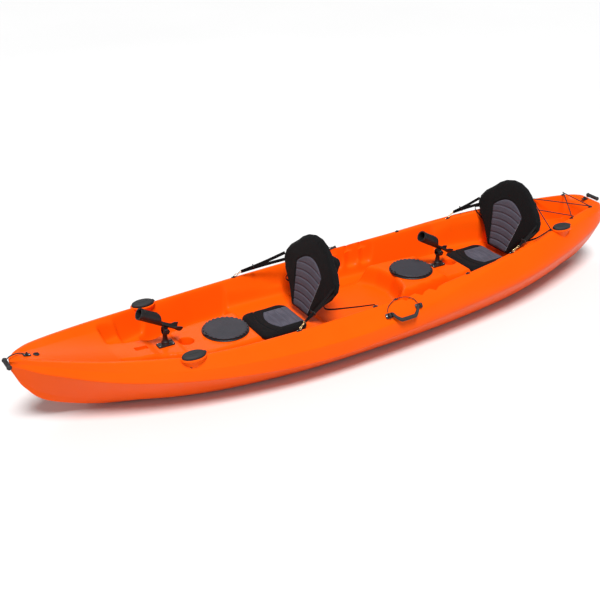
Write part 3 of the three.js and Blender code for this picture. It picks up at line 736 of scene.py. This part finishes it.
def add_flush(end, x, y, side, sign):
    mouth = flush_mouth(x, y, sign)
    levels = [(60, 4.8), (60.4, 6.5), (60, 9), (57, 13), (52, 15.4), (40, 16.4), (14, 16.8)]
    rings = [
        [mouth + Vector(p) * MM for p in oval_ring(0, 0, up, long, long - 24 * min(1, long / 60))]
        for long, up in levels
    ]
    plug = turned("plug", [(0, -14), (17, -14), (18.5, -12), (18.5, 6), (0, 6)], mouth, FLUSH_TURN, 32)
    tab = block("tab", (0.020, 0.022, 0.004), mouth + Vector((-0.056, 0, 0.0085)), bevel=0.0018)
    ridge_bar = block("bar", (0.050, 0.006, 0.003), mouth + Vector((0, 0, 0.0168)), bevel=0.0013)
    finish(f"{end}_{side}_cap_cover", [rings_to_mesh("cap", rings), plug, tab, ridge_bar], RUBBER,
           f"{end}_{side}_cap", [f"{end}_{side}_flush_cap"])


for flush in FLUSH:
    for which in SIDES:
        add_flush(*flush, *which)

# ---------------------------------------------------------------- adjustable rod holders

RODS = [("front", 1084, 223), ("rear", -643, 233)]
ROD_PIVOT = 88
ROD_TILT = 30
# The cradle's stations, in mm and degrees: along it, half the angle it wraps from below, outer radius, wall.
CRADLE = [
    (-75, 96, 31, 5), (-66, 94, 31, 7), (-50, 84, 29, 7), (-34, 64, 28, 7), (-15, 56, 28, 8),
    (20, 56, 28, 8), (44, 66, 28, 7), (56, 100, 28, 6), (66, 145, 29, 6), (80, 168, 30, 7),
    (110, 168, 29, 6), (150, 168, 29, 6), (160, 166, 31, 8), (175, 164, 31, 7),
]
CRADLE_ABOVE = 45


def rounded_rectangle(length, width, radius, z, steps=5):
    ring = []
    for k, (sx, sy) in enumerate(((1, 1), (-1, 1), (-1, -1), (1, -1))):
        for i in range(steps + 1):
            a = pi / 2 * (k + i / steps)
            ring.append((
                sx * (length / 2 - radius) + radius * cos(a),
                sy * (width / 2 - radius) + radius * sin(a),
                z,
            ))
    return ring


def placed(ring, place):
    return [place @ (Vector(p) * MM) for p in ring]


def screw(place, radius=3.6):
    """A domed screw head, standing on the place's z = 0."""
    profile = [(0, -1), (radius, -1), (radius, 0.6), (0.7 * radius, 1.5), (0, 1.9)]
    return turned("screw", profile, tilt=place, sides=20)


def cradle_ring(x, wrap, radius, wall, steps=28):
    angles = np.radians(np.linspace(-wrap, wrap, steps + 1))
    outer = [(x, radius * np.sin(a), CRADLE_ABOVE - radius * np.cos(a)) for a in angles]
    inside = radius - wall
    inner = [(x, inside * np.sin(a), CRADLE_ABOVE - inside * np.cos(a)) for a in angles[::-1]]
    return outer + inner


def add_rod_holder(end, x, z):
    foot = Matrix.Translation(Vector((x, 0, z)) * MM)
    plate_rings = [
        placed(rounded_rectangle(length, width, 8, up), foot)
        for length, width, up in ((89, 45, 0.4), (90, 46, 1.5), (90, 46, 6), (88, 44, 7.8), (84, 40, 8.4))
    ]
    collar = turned("collar", [(0, 7), (21, 7), (21, 12), (19.5, 14.2), (0, 14.2)], tilt=foot)
    finish(f"{end}_rod_base", [rings_to_mesh("plate", plate_rings), collar], BLACK, HULL,
           [f"{end}_rod_holder_base"])
    corners = [(sx * 0.036, sy * 0.015, 0.0084) for sx in (1, -1) for sy in (1, -1)]
    screws = [screw(foot @ Matrix.Translation(corner)) for corner in corners]
    finish(f"{end}_rod_screws", screws, STEEL, HULL)

    swivel = f"{end}_rod_holder_swivel"
    post = [turned("post", [
        (0, 14.8), (19.5, 14.8), (20, 16), (20, 20), (18, 23.5), (14.5, 27), (13, 40), (11.5, 58), (12.5, 66),
        (17, 71), (17, 75), (0, 75.5),
    ], tilt=foot)]
    for sign in (1, -1):
        rings = []
        for y, inset in ((12.5, 1), (13.3, 0), (18.2, 0), (19, 1)):
            radius = 12 - inset
            arc = np.linspace(0, pi, 17)
            top = [(radius * cos(a), sign * y, ROD_PIVOT + radius * sin(a)) for a in arc]
            rings.append(placed(top + [(-radius, sign * y, 72), (radius, sign * y, 72)], foot))
        post.append(rings_to_mesh("ear", rings))
    lever = Matrix.Translation(Vector((-24, 0, 19)) * MM)
    post.append(block("lever", (0.024, 0.012, 0.006), tilt=foot @ lever, bevel=0.002))
    finish(f"{end}_rod_post", post, BLACK, swivel, [f"{end}_rod_holder_post"])

    tilted = foot @ Matrix.Translation((0, 0, ROD_PIVOT * MM)) @ Matrix.Rotation(-radians(ROD_TILT), 4, "Y")
    spots = np.linspace(0, 1, 4 * (len(CRADLE) - 1) + 1)
    rings = [placed(cradle_ring(*station), tilted) for station in curve_points(CRADLE, spots)]
    neck_at, rib_at = (tilted @ Matrix.Translation(spot) for spot in ((0, 0, 0.008), (0.095, 0, 0.0165)))
    neck = block("neck", (0.020, 0.0225, 0.028), tilt=neck_at, bevel=0.005)
    rib = block("rib", (0.150, 0.006, 0.006), tilt=rib_at, bevel=0.002)
    finish(f"{end}_rod_cradle", [rings_to_mesh("cradle", rings, 50), neck, rib], BLACK,
           f"{end}_rod_holder_tilting_cradle", [f"{end}_rod_holder_cradle"])

    hub = foot @ Matrix.Translation((0, 0, ROD_PIVOT * MM))
    lobes = []
    for y, size in ((19.8, 15.5), (21.5, 17), (30, 17), (32.4, 15), (33, 11)):
        ring = []
        for i in range(48):
            a = 2 * pi * i / 48
            r = size * (1 - 0.07 * (1 - cos(6 * a)))
            ring.append((r * cos(a), y, r * sin(a)))
        lobes.append(placed(ring, hub))
    bolt = turned("bolt", [(0, -21), (5.5, -21), (5.5, 18), (0, 18)],
                  tilt=hub @ Matrix.Rotation(-pi / 2, 4, "X"), sides=24)
    finish(f"{end}_rod_knob", [rings_to_mesh("knob", lobes), bolt], BLACK, f"{end}_rod_holder_lock_knob",
           [f"{end}_rod_holder_knob"])


for rod in RODS:
    add_rod_holder(*rod)

# ---------------------------------------------------------------- side handles

HANDLE_FRONT, HANDLE_REAR, HANDLE_Y = -12, -192, 402
HANDLE_SLOPE = radians(46)
HANDLE_SEAT, HANDLE_STAND, HANDLE_REACH = 5, 22, 32


def add_handle(side, sign):
    middle = (HANDLE_FRONT + HANDLE_REAR) / 2
    out, up = sin(HANDLE_SLOPE), cos(HANDLE_SLOPE)
    foot_z = float(band(middle, HANDLE_Y))
    pin = (HANDLE_Y + HANDLE_STAND * out, foot_z + HANDLE_STAND * up)
    for end, x, outward in (("front", HANDLE_FRONT, 1), ("rear", HANDLE_REAR, -1)):
        at_z = float(band(x, HANDLE_Y))
        spot = Vector((x, sign * (HANDLE_Y + HANDLE_SEAT * out), at_z + HANDLE_SEAT * up)) * MM
        place = Matrix.Translation(spot) @ Matrix.Rotation(-sign * HANDLE_SLOPE, 4, "X")
        foot_at, lug_at, screw_at = (
            place @ Matrix.Translation((outward * along, 0, up_by))
            for along, up_by in ((0.006, 0), (0.009, 0.0135), (0.022, 0.005))
        )
        rings = [
            placed(rounded_rectangle(length, width, 7, z), foot_at)
            for length, width, z in ((43, 27, 0), (44, 28, 1), (44, 28, 3.6), (41, 25, 5))
        ]
        lug = block("lug", (0.014, 0.020, 0.024), tilt=lug_at, bevel=0.003)
        finish(f"{side}_{end}_bracket", [rings_to_mesh("foot", rings), lug], BLACK, HULL,
               [f"{side}_handle_{end}_bracket"])
        finish(f"{side}_{end}_bracket_screws", [screw(screw_at, 3.8)], STEEL, HULL)

    half = [(0.6, 0), (8, 0.02), (22, 0.5), (44, 0.94), (60, 1)]
    route = [(HANDLE_FRONT - x, share) for x, share in half]
    route += [(HANDLE_REAR + x, share) for x, share in half[::-1]]
    points = [
        Vector((x, sign * (pin[0] + share * HANDLE_REACH), pin[1] - share * HANDLE_REACH)) * MM
        for x, share in route
    ]

    def thickness(t):
        """The grip's radius at a share of its length: thin at both ends, full in the middle."""
        return 0.0078 + 0.0028 * min(1, max(0, 6 * min(t, 1 - t) - 1.2))

    grip = tube("grip", points, thickness, 90)
    finish(f"{side}_grip", [grip], RUBBER, f"{side}_handle", [f"{side}_handle_grip"])

    crest_y, crest_z = (float(v) for v in ridge(middle))
    anchor = (sign * (HANDLE_Y - 11), foot_z + 18)
    low = (sign * (crest_y + 26), crest_z - 6)
    high = (sign * (crest_y + 12), crest_z + 10)
    keeper = [
        (HANDLE_FRONT + 8, *anchor), (HANDLE_FRONT - 12, *low), (middle + 30, *high),
        (middle - 30, *high), (HANDLE_REAR + 12, *low), (HANDLE_REAR - 8, *anchor),
    ]
    cord = line(f"{side}_keeper", [Vector(p) * MM for p in keeper], 0.002)
    shown(cord, CORD, HULL)
    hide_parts(f"{side}_paddle_keeper")


def tube(name, points, radius, steps, sides=20):
    """A round bar along a curve, its radius given by a function of the share of the way along."""
    shares = np.linspace(0, 1, steps + 1)
    centres = curve_points(points, shares)
    last = None
    rings = []
    for share, centre, ahead in zip(shares, centres, np.gradient(centres, axis=0)):
        ahead = Vector(ahead).normalized()
        across = ahead.orthogonal() if last is None else last - ahead * last.dot(ahead)
        across.normalize()
        last = across
        up = ahead.cross(across)
        r = float(radius(share))
        rings.append([
            Vector(centre) + (across * cos(2 * pi * k / sides) + up * sin(2 * pi * k / sides)) * r
            for k in range(sides)
        ])
    return rings_to_mesh(name, rings)


for which in SIDES:
    add_handle(*which)

# ---------------------------------------------------------------- eyelets, drain plug and bungee

SEAT_EYELETS = [("front_seat", 508), ("mid", 46), ("rear_seat", -942)]
LINE_EYELETS = (-86, -590, -1305, -1515, -1727)


def pad_eye(place, length, width, arch, wire):
    """A plate with an arch over it, as one piece in the place's frame."""
    levels = ((0.97, 0), (1, 0.8), (1, 2.6), (0.9, 3.5))
    rings = [placed(rounded_rectangle(length * s, width * s, 4, z), place) for s, z in levels]
    arc = np.linspace(-0.1, pi + 0.1, 9)
    points = placed([(0, arch * cos(a), 2.5 + arch * sin(a)) for a in arc], place)
    loop = tube("loop", points, lambda _: wire * MM, 24, 12)
    return [rings_to_mesh("eye_plate", rings), loop]


def on_ridge(x, sign, up=1):
    y, z = (float(v) for v in ridge(x))
    rise = float(ridge(x + 15)[1] - ridge(x - 15)[1]) / 30
    spot = Vector((x, sign * y, z + up)) * MM
    return Matrix.Translation(spot) @ Matrix.Rotation(-np.arctan(rise), 4, "Y")


for side, sign in SIDES:
    for name, x in SEAT_EYELETS:
        place = on_ridge(x, sign)
        eye = pad_eye(place, 30, 12, 5, 1.8)
        finish(f"{name}_{side}_eye", eye, BLACK, HULL, [f"{name}_{side}_eyelet"])
        heads = [screw(place @ Matrix.Translation((along, 0, 0.0034)), 2.4) for along in (-0.0105, 0.0105)]
        finish(f"{name}_{side}_eye_screws", heads, STEEL, HULL)
    for x in LINE_EYELETS:
        place = on_ridge(x, sign)
        finish(f"line_eye_{side}_{-x}", pad_eye(place, 26, 12, 5, 1.8), BLACK, HULL)

deck_slope = np.arctan2(384 - 362, 100)
BOW_EYE, STERN_EYE = 1778, -1800
bow_place = Matrix.Translation(Vector((BOW_EYE, 0, float(deck_centre(BOW_EYE)) + 1.5)) * MM)
bow_place = bow_place @ Matrix.Rotation(-deck_slope, 4, "Y")
stern_place = Matrix.Translation(Vector((STERN_EYE, 0, float(ridge(STERN_EYE)[1]) + 3)) * MM)
for end, place in (("bow", bow_place), ("stern", stern_place)):
    finish(f"{end}_eye", pad_eye(place, 36, 26, 10, 3), BLACK, HULL, [f"{end}_pad_eye"])
    heads = [screw(place @ Matrix.Translation((along, 0, 0.0034)), 3) for along in (-0.012, 0.012)]
    finish(f"{end}_eye_screws", heads, STEEL, HULL)
drain_place = Matrix.Translation((DRAIN_X * MM, 0, float(deck_centre(DRAIN_X)) * MM))
drain_place = drain_place @ Matrix.Rotation(-deck_slope, 4, "Y")
drain = [
    turned("drain", [
        (0, -14), (6, -14), (6, 0.8), (14.5, 0.8), (15, 1.6), (15, 4), (13.5, 5.2), (9, 6), (0, 6.2),
    ], tilt=drain_place, sides=48),
    block("wing", (0.018, 0.005, 0.007), tilt=drain_place @ Matrix.Translation((0, 0, 0.008)), bevel=0.0018),
]
finish("drain_stopper_plug", drain, RUBBER, "drain_stopper", ["drain_plug"])


def bungee_route():
    knots = [(x, float(ridge(x)[0]) - 4, float(ridge(x)[1]) + 8) for x in (-1305, -1515, -1727)]
    lace = [(0, 1), (1, -1), (2, 1), (2, -1), (1, 1), (0, -1)]
    route = []
    for i, (row, sign) in enumerate(lace):
        x, y, z = knots[row]
        route.append(Vector((x, sign * y, z + (9 if i > 2 else 0))) * MM)
    bends = [route[0]]
    for i in range(1, len(route) - 1):
        bends += [route[i].lerp(route[i - 1], 0.06), route[i].lerp(route[i + 1], 0.06)]
    return bends + [route[-1]]


bungee = line("bungee", bungee_route(), 0.003, 8)
shown(bungee, CORD, HULL)
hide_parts("stern_bungee")

# ---------------------------------------------------------------- seats

# Each seat's hinge x, floor, side strap's hook, and back strap's route towards its eyelet, in mm.
SEATS = [
    ("front", 298, 155, (470, 336, 334), ((252, 216, 292), (48, 350, 325))),
    ("rear", -1092, 185, (-985, 292, 386), ((-1138, 268, 390), (-1302, 222, 395))),
]
PAD_LENGTH, PAD_HALF, PAD_THICK = 294, 149, 28
STRAP_HEIGHT, STRAP_OUT = 232, 250  # mm above the hinge and from the middle where a side strap is sewn on
BACK_THICK, BACK_LEAN = 36, 14
PACK_WIDE, PACK_TALL, PACK_DEEP, PACK_LOW = 236, 200, 92, 152
# The backrest's outline from its hinge line up: height and half width.
BACK_SHAPE = [
    (0, 96), (88, 160), (165, 236), (225, 271), (268, 266), (318, 232), (362, 178), (400, 138), (428, 92),
    (446, 30),
]
PANEL_EDGE = [(30, 74), (95, 89), (160, 104), (225, 119)]  # the painted highlight's run up the panel's port edge, a light line on the side the light falls on
CLOTH_FRAMES, CLOTH_PRESSURE = 20, 4
SWELL = 3.5  # mm that a padded piece starts inside its CAD solid, and may swell back
VOXEL = 0.005


def inflated(name, rings, cap):
    """A padded piece: a plain closed shape, remeshed and blown up by a cloth simulation, then made finer."""
    obj = rings_to_mesh(name, rings)
    remesh = obj.modifiers.new("remesh", "REMESH")
    remesh.mode = "VOXEL"
    remesh.voxel_size = VOXEL
    apply_modifiers(obj)
    rest = coordinates(obj)
    cloth = obj.modifiers.new("cloth", "CLOTH")
    cloth.settings.use_pressure = True
    cloth.settings.uniform_pressure_force = CLOTH_PRESSURE
    cloth.settings.effector_weights.gravity = 0
    cloth.settings.quality = 4
    cloth.point_cache.frame_end = CLOTH_FRAMES
    for number in range(1, CLOTH_FRAMES + 1):
        bpy.context.scene.frame_set(number)
    evaluated = obj.evaluated_get(bpy.context.evaluated_depsgraph_get())
    moved = np.empty(3 * len(evaluated.data.vertices))
    evaluated.data.vertices.foreach_get("co", moved)
    move = moved.reshape(-1, 3) - rest
    length = np.linalg.norm(move, axis=1, keepdims=True)
    obj.modifiers.clear()
    bpy.context.scene.frame_set(1)
    store(obj, rest + move * np.minimum(1, cap / np.maximum(length, 1e-9)))
    finer = obj.modifiers.new("finer", "SUBSURF")
    finer.levels = 1
    apply_modifiers(obj)
    return obj


def coordinates(obj):
    values = np.empty(3 * len(obj.data.vertices))
    obj.data.vertices.foreach_get("co", values)
    return values.reshape(-1, 3)


def store(obj, points):
    obj.data.vertices.foreach_set("co", points.ravel())
    obj.data.update()


def groove(distance, width):
    """How deep a sewn channel is at a distance from its seam, from 0 to 1."""
    return np.exp(-((distance / width) ** 2))


def paint(obj, materials, choose):
    """Gives each face one of the materials, chosen by its middle and its normal."""
    obj.data.materials.clear()
    for material in materials:
        obj.data.materials.append(material)
    for face in obj.data.polygons:
        face.material_index = choose(face.center / MM, face.normal)
        face.use_smooth = True


def seat_pad():
    """The pad in mm about its middle: a low cushion with a rolled front edge and a sewn centre panel."""
    levels = [(16, SWELL), (6, SWELL + 3), (SWELL, 12), (SWELL, 22), (7, 29), (24, PAD_THICK + 5)]
    rings = [
        [Vector(p) * MM for p in rounded_rectangle(PAD_LENGTH - 2 * inset, 2 * PAD_HALF - 2 * inset, 52, z)]
        for inset, z in levels
    ]
    obj = inflated("pad_form", rings, 0.005)
    points = coordinates(obj) / MM
    x, y, z = points.T
    top = np.clip((z - 22) / 6, 0, 1)
    seam = np.minimum(np.abs(pad_panel(x, y)), 60)
    roll = groove(x - 88 + 0.002 * y**2, 5) * 4.0
    channels = sum(groove(x - at, 5) for at in (-90, -45, 0)) * 2.0 * (pad_panel(x, y) < 0)
    hollow = 2.5 * np.exp(-((x + 20) ** 2 + y**2) / 85.0**2)
    points[:, 2] -= top * (groove(seam, 4) * 2.6 + roll + channels + hollow)
    store(obj, points * MM)
    return obj


def pad_panel(x, y):
    """Signed distance to the pad's centre panel, roughly, negative inside it."""
    return np.maximum(x - 46 + 0.004 * y**2, np.maximum(-x - 134, np.abs(y) - 92))


def back_form():
    """The backrest in mm in its own frame: x is forwards, y across and z up from the hinge."""
    heights, halves = zip(*BACK_SHAPE)
    outline = [(half, height) for height, half in BACK_SHAPE]
    outline += [(-half, height) for height, half in BACK_SHAPE[::-1]]
    middle = np.array((0, 225))
    rings = []
    for inset, x in ((14, -BACK_THICK + SWELL), (SWELL, -BACK_THICK + 10), (SWELL, -10), (14, -SWELL)):
        ring = []
        for point in outline:
            towards = middle - point
            moved = point + towards / np.linalg.norm(towards) * inset
            ring.append(Vector((x, *moved)) * MM)
        rings.append(ring)
    obj = inflated("back_form", rings, 0.006)
    points = coordinates(obj) / MM
    x, y, z = points.T
    front = np.clip((x + 16) / 8, 0, 1)
    half = np.interp(z, heights, halves)
    edge = half - np.abs(y)
    panel = back_panel(y, z)
    arches = sum(groove(z - at - 22 * (1 - (y / 120) ** 2), 4.5) for at in (40, 82, 124, 166, 208, 250))
    points[:, 0] -= front * (arches * 3.6 * (panel < 0) + groove(panel, 5) * 4.0 + 2.5 * groove(edge - 18, 5))
    store(obj, points * MM)
    return obj


def back_panel(y, z):
    """Signed distance to the backrest's centre panel, roughly, negative inside it."""
    side = np.abs(y) - np.interp(z, (0, 240, 330), (66, 122, 122))
    return np.maximum(side, np.maximum(z - 318 + 0.0042 * y**2, 16 - z))


def pack_form():
    """The pack on the backrest's back, in mm, in the backrest's frame, with a lid flap and a zip seam."""
    far = -BACK_THICK - PACK_DEEP
    middle = PACK_LOW + PACK_TALL / 2
    rings = []
    near = -BACK_THICK
    for inset, x in ((18, far + 3), (7, far + 9), (SWELL, far + 28), (SWELL, near - 12), (9, near - 4)):
        flat = rounded_rectangle(PACK_WIDE - 2 * inset, PACK_TALL - 2 * inset, 34, 0)
        rings.append([Vector((x, px, middle + py)) * MM for px, py, _ in flat])
    obj = inflated("pack_form", rings, 0.007)
    points = coordinates(obj) / MM
    x, y, z = points.T
    aft = np.clip((-x - BACK_THICK - 40) / 20, 0, 1)
    normal_in = np.clip((far + 20 - x) / 10, 0, 1)
    points[:, 0] += aft * normal_in * 3.0 * groove(z - (middle + 48) - 10 * (y / 110) ** 2, 4)
    squeeze = 2.0 * groove(x - (far + 30), 4)
    points[:, 1] -= np.sign(y) * squeeze * (np.abs(y) > 70)
    points[:, 2] -= np.sign(z - middle) * squeeze * (np.abs(z - middle) > 60)
    store(obj, points * MM)
    return obj


def copy_of(form, name, place):
    data = form.data.copy()
    data.transform(place)
    return new_object(name, data)


def ribbon(name, points, width, thick=0.0022, steps=14, edge=Vector((0, 0, 1))):
    """A flat strap through the points, its width along the edge direction."""
    shares = np.linspace(0, 1, steps * (len(points) - 1) + 1)
    centres = curve_points([tuple(p) for p in points], shares)
    section = ((1, 0.3), (0.85, 1), (-0.85, 1), (-1, 0.3), (-1, -0.3), (-0.85, -1), (0.85, -1), (1, -0.3))
    rings = []
    for share, centre, ahead in zip(shares, centres, np.gradient(centres, axis=0)):
        ahead = Vector(ahead).normalized()
        side = ahead.cross(edge).normalized()
        up = side.cross(ahead).normalized()
        w = width(share) if callable(width) else width
        rings.append([Vector(centre) + up * (a * w / 2) + side * (b * thick / 2) for a, b in section])
    return rings_to_mesh(name, rings)


def snap_hook(name, a, b, material):
    """A snap hook between two points: a swivel eye, a body and an open hook with its gate."""
    a, b = Vector(a), Vector(b)
    ahead = (b - a).normalized()
    turn = ahead.to_track_quat("X", "Z").to_matrix().to_4x4()
    place = Matrix.Translation(a) @ turn
    length = (b - a).length
    eye = [place @ Vector((0.006 * cos(t), 0, 0.006 * sin(t))) for t in np.linspace(0, 2 * pi, 13)]
    hook = [
        (0.010, 0, 0), (length - 0.014, 0, 0.005), (length - 0.004, 0, 0.001), (length - 0.006, 0, -0.006),
        (length - 0.016, 0, -0.006), (0.018, 0, -0.003),
    ]
    barrel = place @ Matrix.Rotation(pi / 2, 4, "Y")
    parts = [
        tube("eye", eye, lambda _: 0.0016, 24, 10),
        tube("hook", [place @ Vector(p) for p in hook], lambda _: 0.0019, 30, 10),
        turned("swivel", [(0, 5), (3.4, 5), (4, 7), (4, 12), (3, 15), (0, 15)], tilt=barrel, sides=24),
    ]
    return finish(name, parts, material, HULL)


PAD_FORM, BACK_FORM, PACK_FORM = seat_pad(), back_form(), pack_form()


def add_seat(end, x, floor, hook, aft):
    body = f"{end}_seat_back"
    on_floor = Matrix.Translation(Vector((x + 8 + PAD_LENGTH / 2, 0, floor + 0.4)) * MM)
    pad = copy_of(PAD_FORM, f"{end}_pad", on_floor)
    centre = on_floor.translation / MM
    top = floor + 16

    def pad_material(point, normal):
        return int(normal.z > 0.4 and point.z > top and pad_panel(point.x - centre.x, point.y) < 0)

    paint(pad, [FABRIC, PANEL], pad_material)
    shown(pad, None, HULL)
    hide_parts(f"{end}_seat_pad")

    hinge = Vector((x, 0, floor + PAD_THICK + 3)) * MM
    leaned = Matrix.Translation(hinge) @ Matrix.Rotation(-radians(BACK_LEAN), 4, "Y")
    to_local = leaned.inverted()
    back = copy_of(BACK_FORM, f"{end}_back", leaned)
    forwards = (leaned.to_3x3() @ Vector((1, 0, 0))).normalized()

    def back_material(point, normal):
        local = to_local @ (point * MM) / MM
        return int(normal.dot(forwards) > 0.3 and back_panel(local.y, local.z) < 0)

    paint(back, [FABRIC, PANEL], back_material)
    shown(back, None, body)
    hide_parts(f"{end}_backrest")
    # A painted highlight: a light grey line up the panel's port edge only, where the key light falls.
    run = [leaned @ (Vector((-2.5, width, height)) * MM) for height, width in PANEL_EDGE]
    shown(line(f"{end}_back_edge_highlight_paint", run, 0.0016), EDGE_HIGHLIGHT_PAINT, body)

    pack = copy_of(PACK_FORM, f"{end}_pack", leaned)
    shown(pack, FABRIC, body)
    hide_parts(f"{end}_seat_pack")

    edge = leaned @ (Vector((-10, 0, STRAP_HEIGHT)) * MM)
    eyelet = dict(SEAT_EYELETS)[f"{end}_seat"]
    eye_y, eye_z = (float(v) for v in ridge(eyelet))
    for side, sign in SIDES:
        start = Vector((edge.x, sign * STRAP_OUT * MM, edge.z))
        target = Vector((hook[0], sign * hook[1], hook[2])) * MM
        middle = start.lerp(target, 0.5)
        upper = [start + Vector((0.004, 0, 0.020)), middle + Vector((0, 0, 0.007)), target]
        lower = [start + Vector((0.004, 0, -0.020)), middle + Vector((0, 0, -0.008)), target]
        slider_at = start.lerp(target, 0.72) + Vector((0, 0, 0.003))
        along = (target - start).to_track_quat("X", "Z").to_matrix().to_4x4()
        slider_turn = along @ Matrix.Rotation(pi / 2, 4, "X")
        slider = block("slider", (0.006, 0.022, 0.030), slider_at, slider_turn, 0.002)
        straps = [ribbon("upper", upper, 0.019), ribbon("lower", lower, 0.019)]
        bent(f"{end}_{side}_side_strap", straps, WEBBING,
             [f"{end}_seat_{side}_strap"])
        bent(f"{end}_{side}_slider", [slider], BLACK)
        eye = Vector((eyelet, sign * eye_y, eye_z + 7)) * MM
        snap_hook(f"{end}_{side}_snap_hook", target, eye, BRASS)
        run = [Vector((p[0], sign * p[1], p[2])) * MM for p in aft]
        at_back = leaned @ (Vector((-BACK_THICK + 4, sign * 150, 110)) * MM)
        sag = run[0].lerp(run[1], 0.5) - Vector((0, 0, 0.003))
        back_strap = ribbon("back_strap", [at_back, run[0], sag, run[1]], lambda t: 0.011 - 0.004 * t)
        bent(f"{end}_{side}_rear_strap", [back_strap], WEBBING,
             [f"{end}_seat_{side}_back_strap"])


for seat in SEATS:
    add_seat(*seat)
for form in (PAD_FORM, BACK_FORM, PACK_FORM):
    bpy.data.objects.remove(form)

# ---------------------------------------------------------------- what stays from the CAD


def keep(node, material):
    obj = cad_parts[node]
    obj.data.materials.clear()
    obj.data.materials.append(material)


for end in ("front", "rear"):
    keep(f"{end}_hatch_seal", RUBBER)
    for side, _ in SIDES:
        keep(f"{end}_{side}_flush_holder", BLACK)

# ---------------------------------------------------------------- stage


FLOOR_HALF = 300
WORLD_STRENGTH = 0.24
SUN_DIRECTION, SUN_STRENGTH, SUN_SPREAD = (-0.20, -0.40, -1), 4.0, 22
LIGHTS_AIM = Vector((0, 0, 0.2))


def add_stage():
    bpy.context.scene.view_settings.view_transform = "Standard"
    corners = [(FLOOR_HALF * sx, FLOOR_HALF * sy, 0) for sx, sy in ((-1, -1), (1, -1), (1, 1), (-1, 1))]
    floor = mesh_object("floor", corners, [(0, 1, 2, 3)])
    n = Nodes("pale_floor")
    n.shades(n.noise(0.4, 2), (0.71, 0.71, 0.71), (0.74, 0.74, 0.74))
    n.rough(n.noise(3, 2), 0.75, 0.85)
    floor.data.materials.append(n.set())
    world = bpy.data.worlds.new("studio")
    world.use_nodes = True
    background = world.node_tree.nodes["Background"]
    background.inputs["Color"].default_value = (1, 1, 1, 1)
    background.inputs["Strength"].default_value = WORLD_STRENGTH
    bpy.context.scene.world = world
    sun = bpy.data.lights.new("key", "SUN")
    sun.energy = SUN_STRENGTH
    sun.angle = radians(SUN_SPREAD)
    new_object("key", sun, facing(SUN_DIRECTION))
    for name, place, size, power in (
        ("fill", (1.5, 5.0, 2.5), 3.0, 25),
        ("back", (-1.0, -4.5, 3.5), 3.0, 40),
    ):
        data = bpy.data.lights.new(name, "AREA")
        data.shape = "DISK"
        data.size = size
        data.energy = power
        new_object(name, data, Matrix.Translation(place) @ facing(LIGHTS_AIM - Vector(place)))


add_stage()
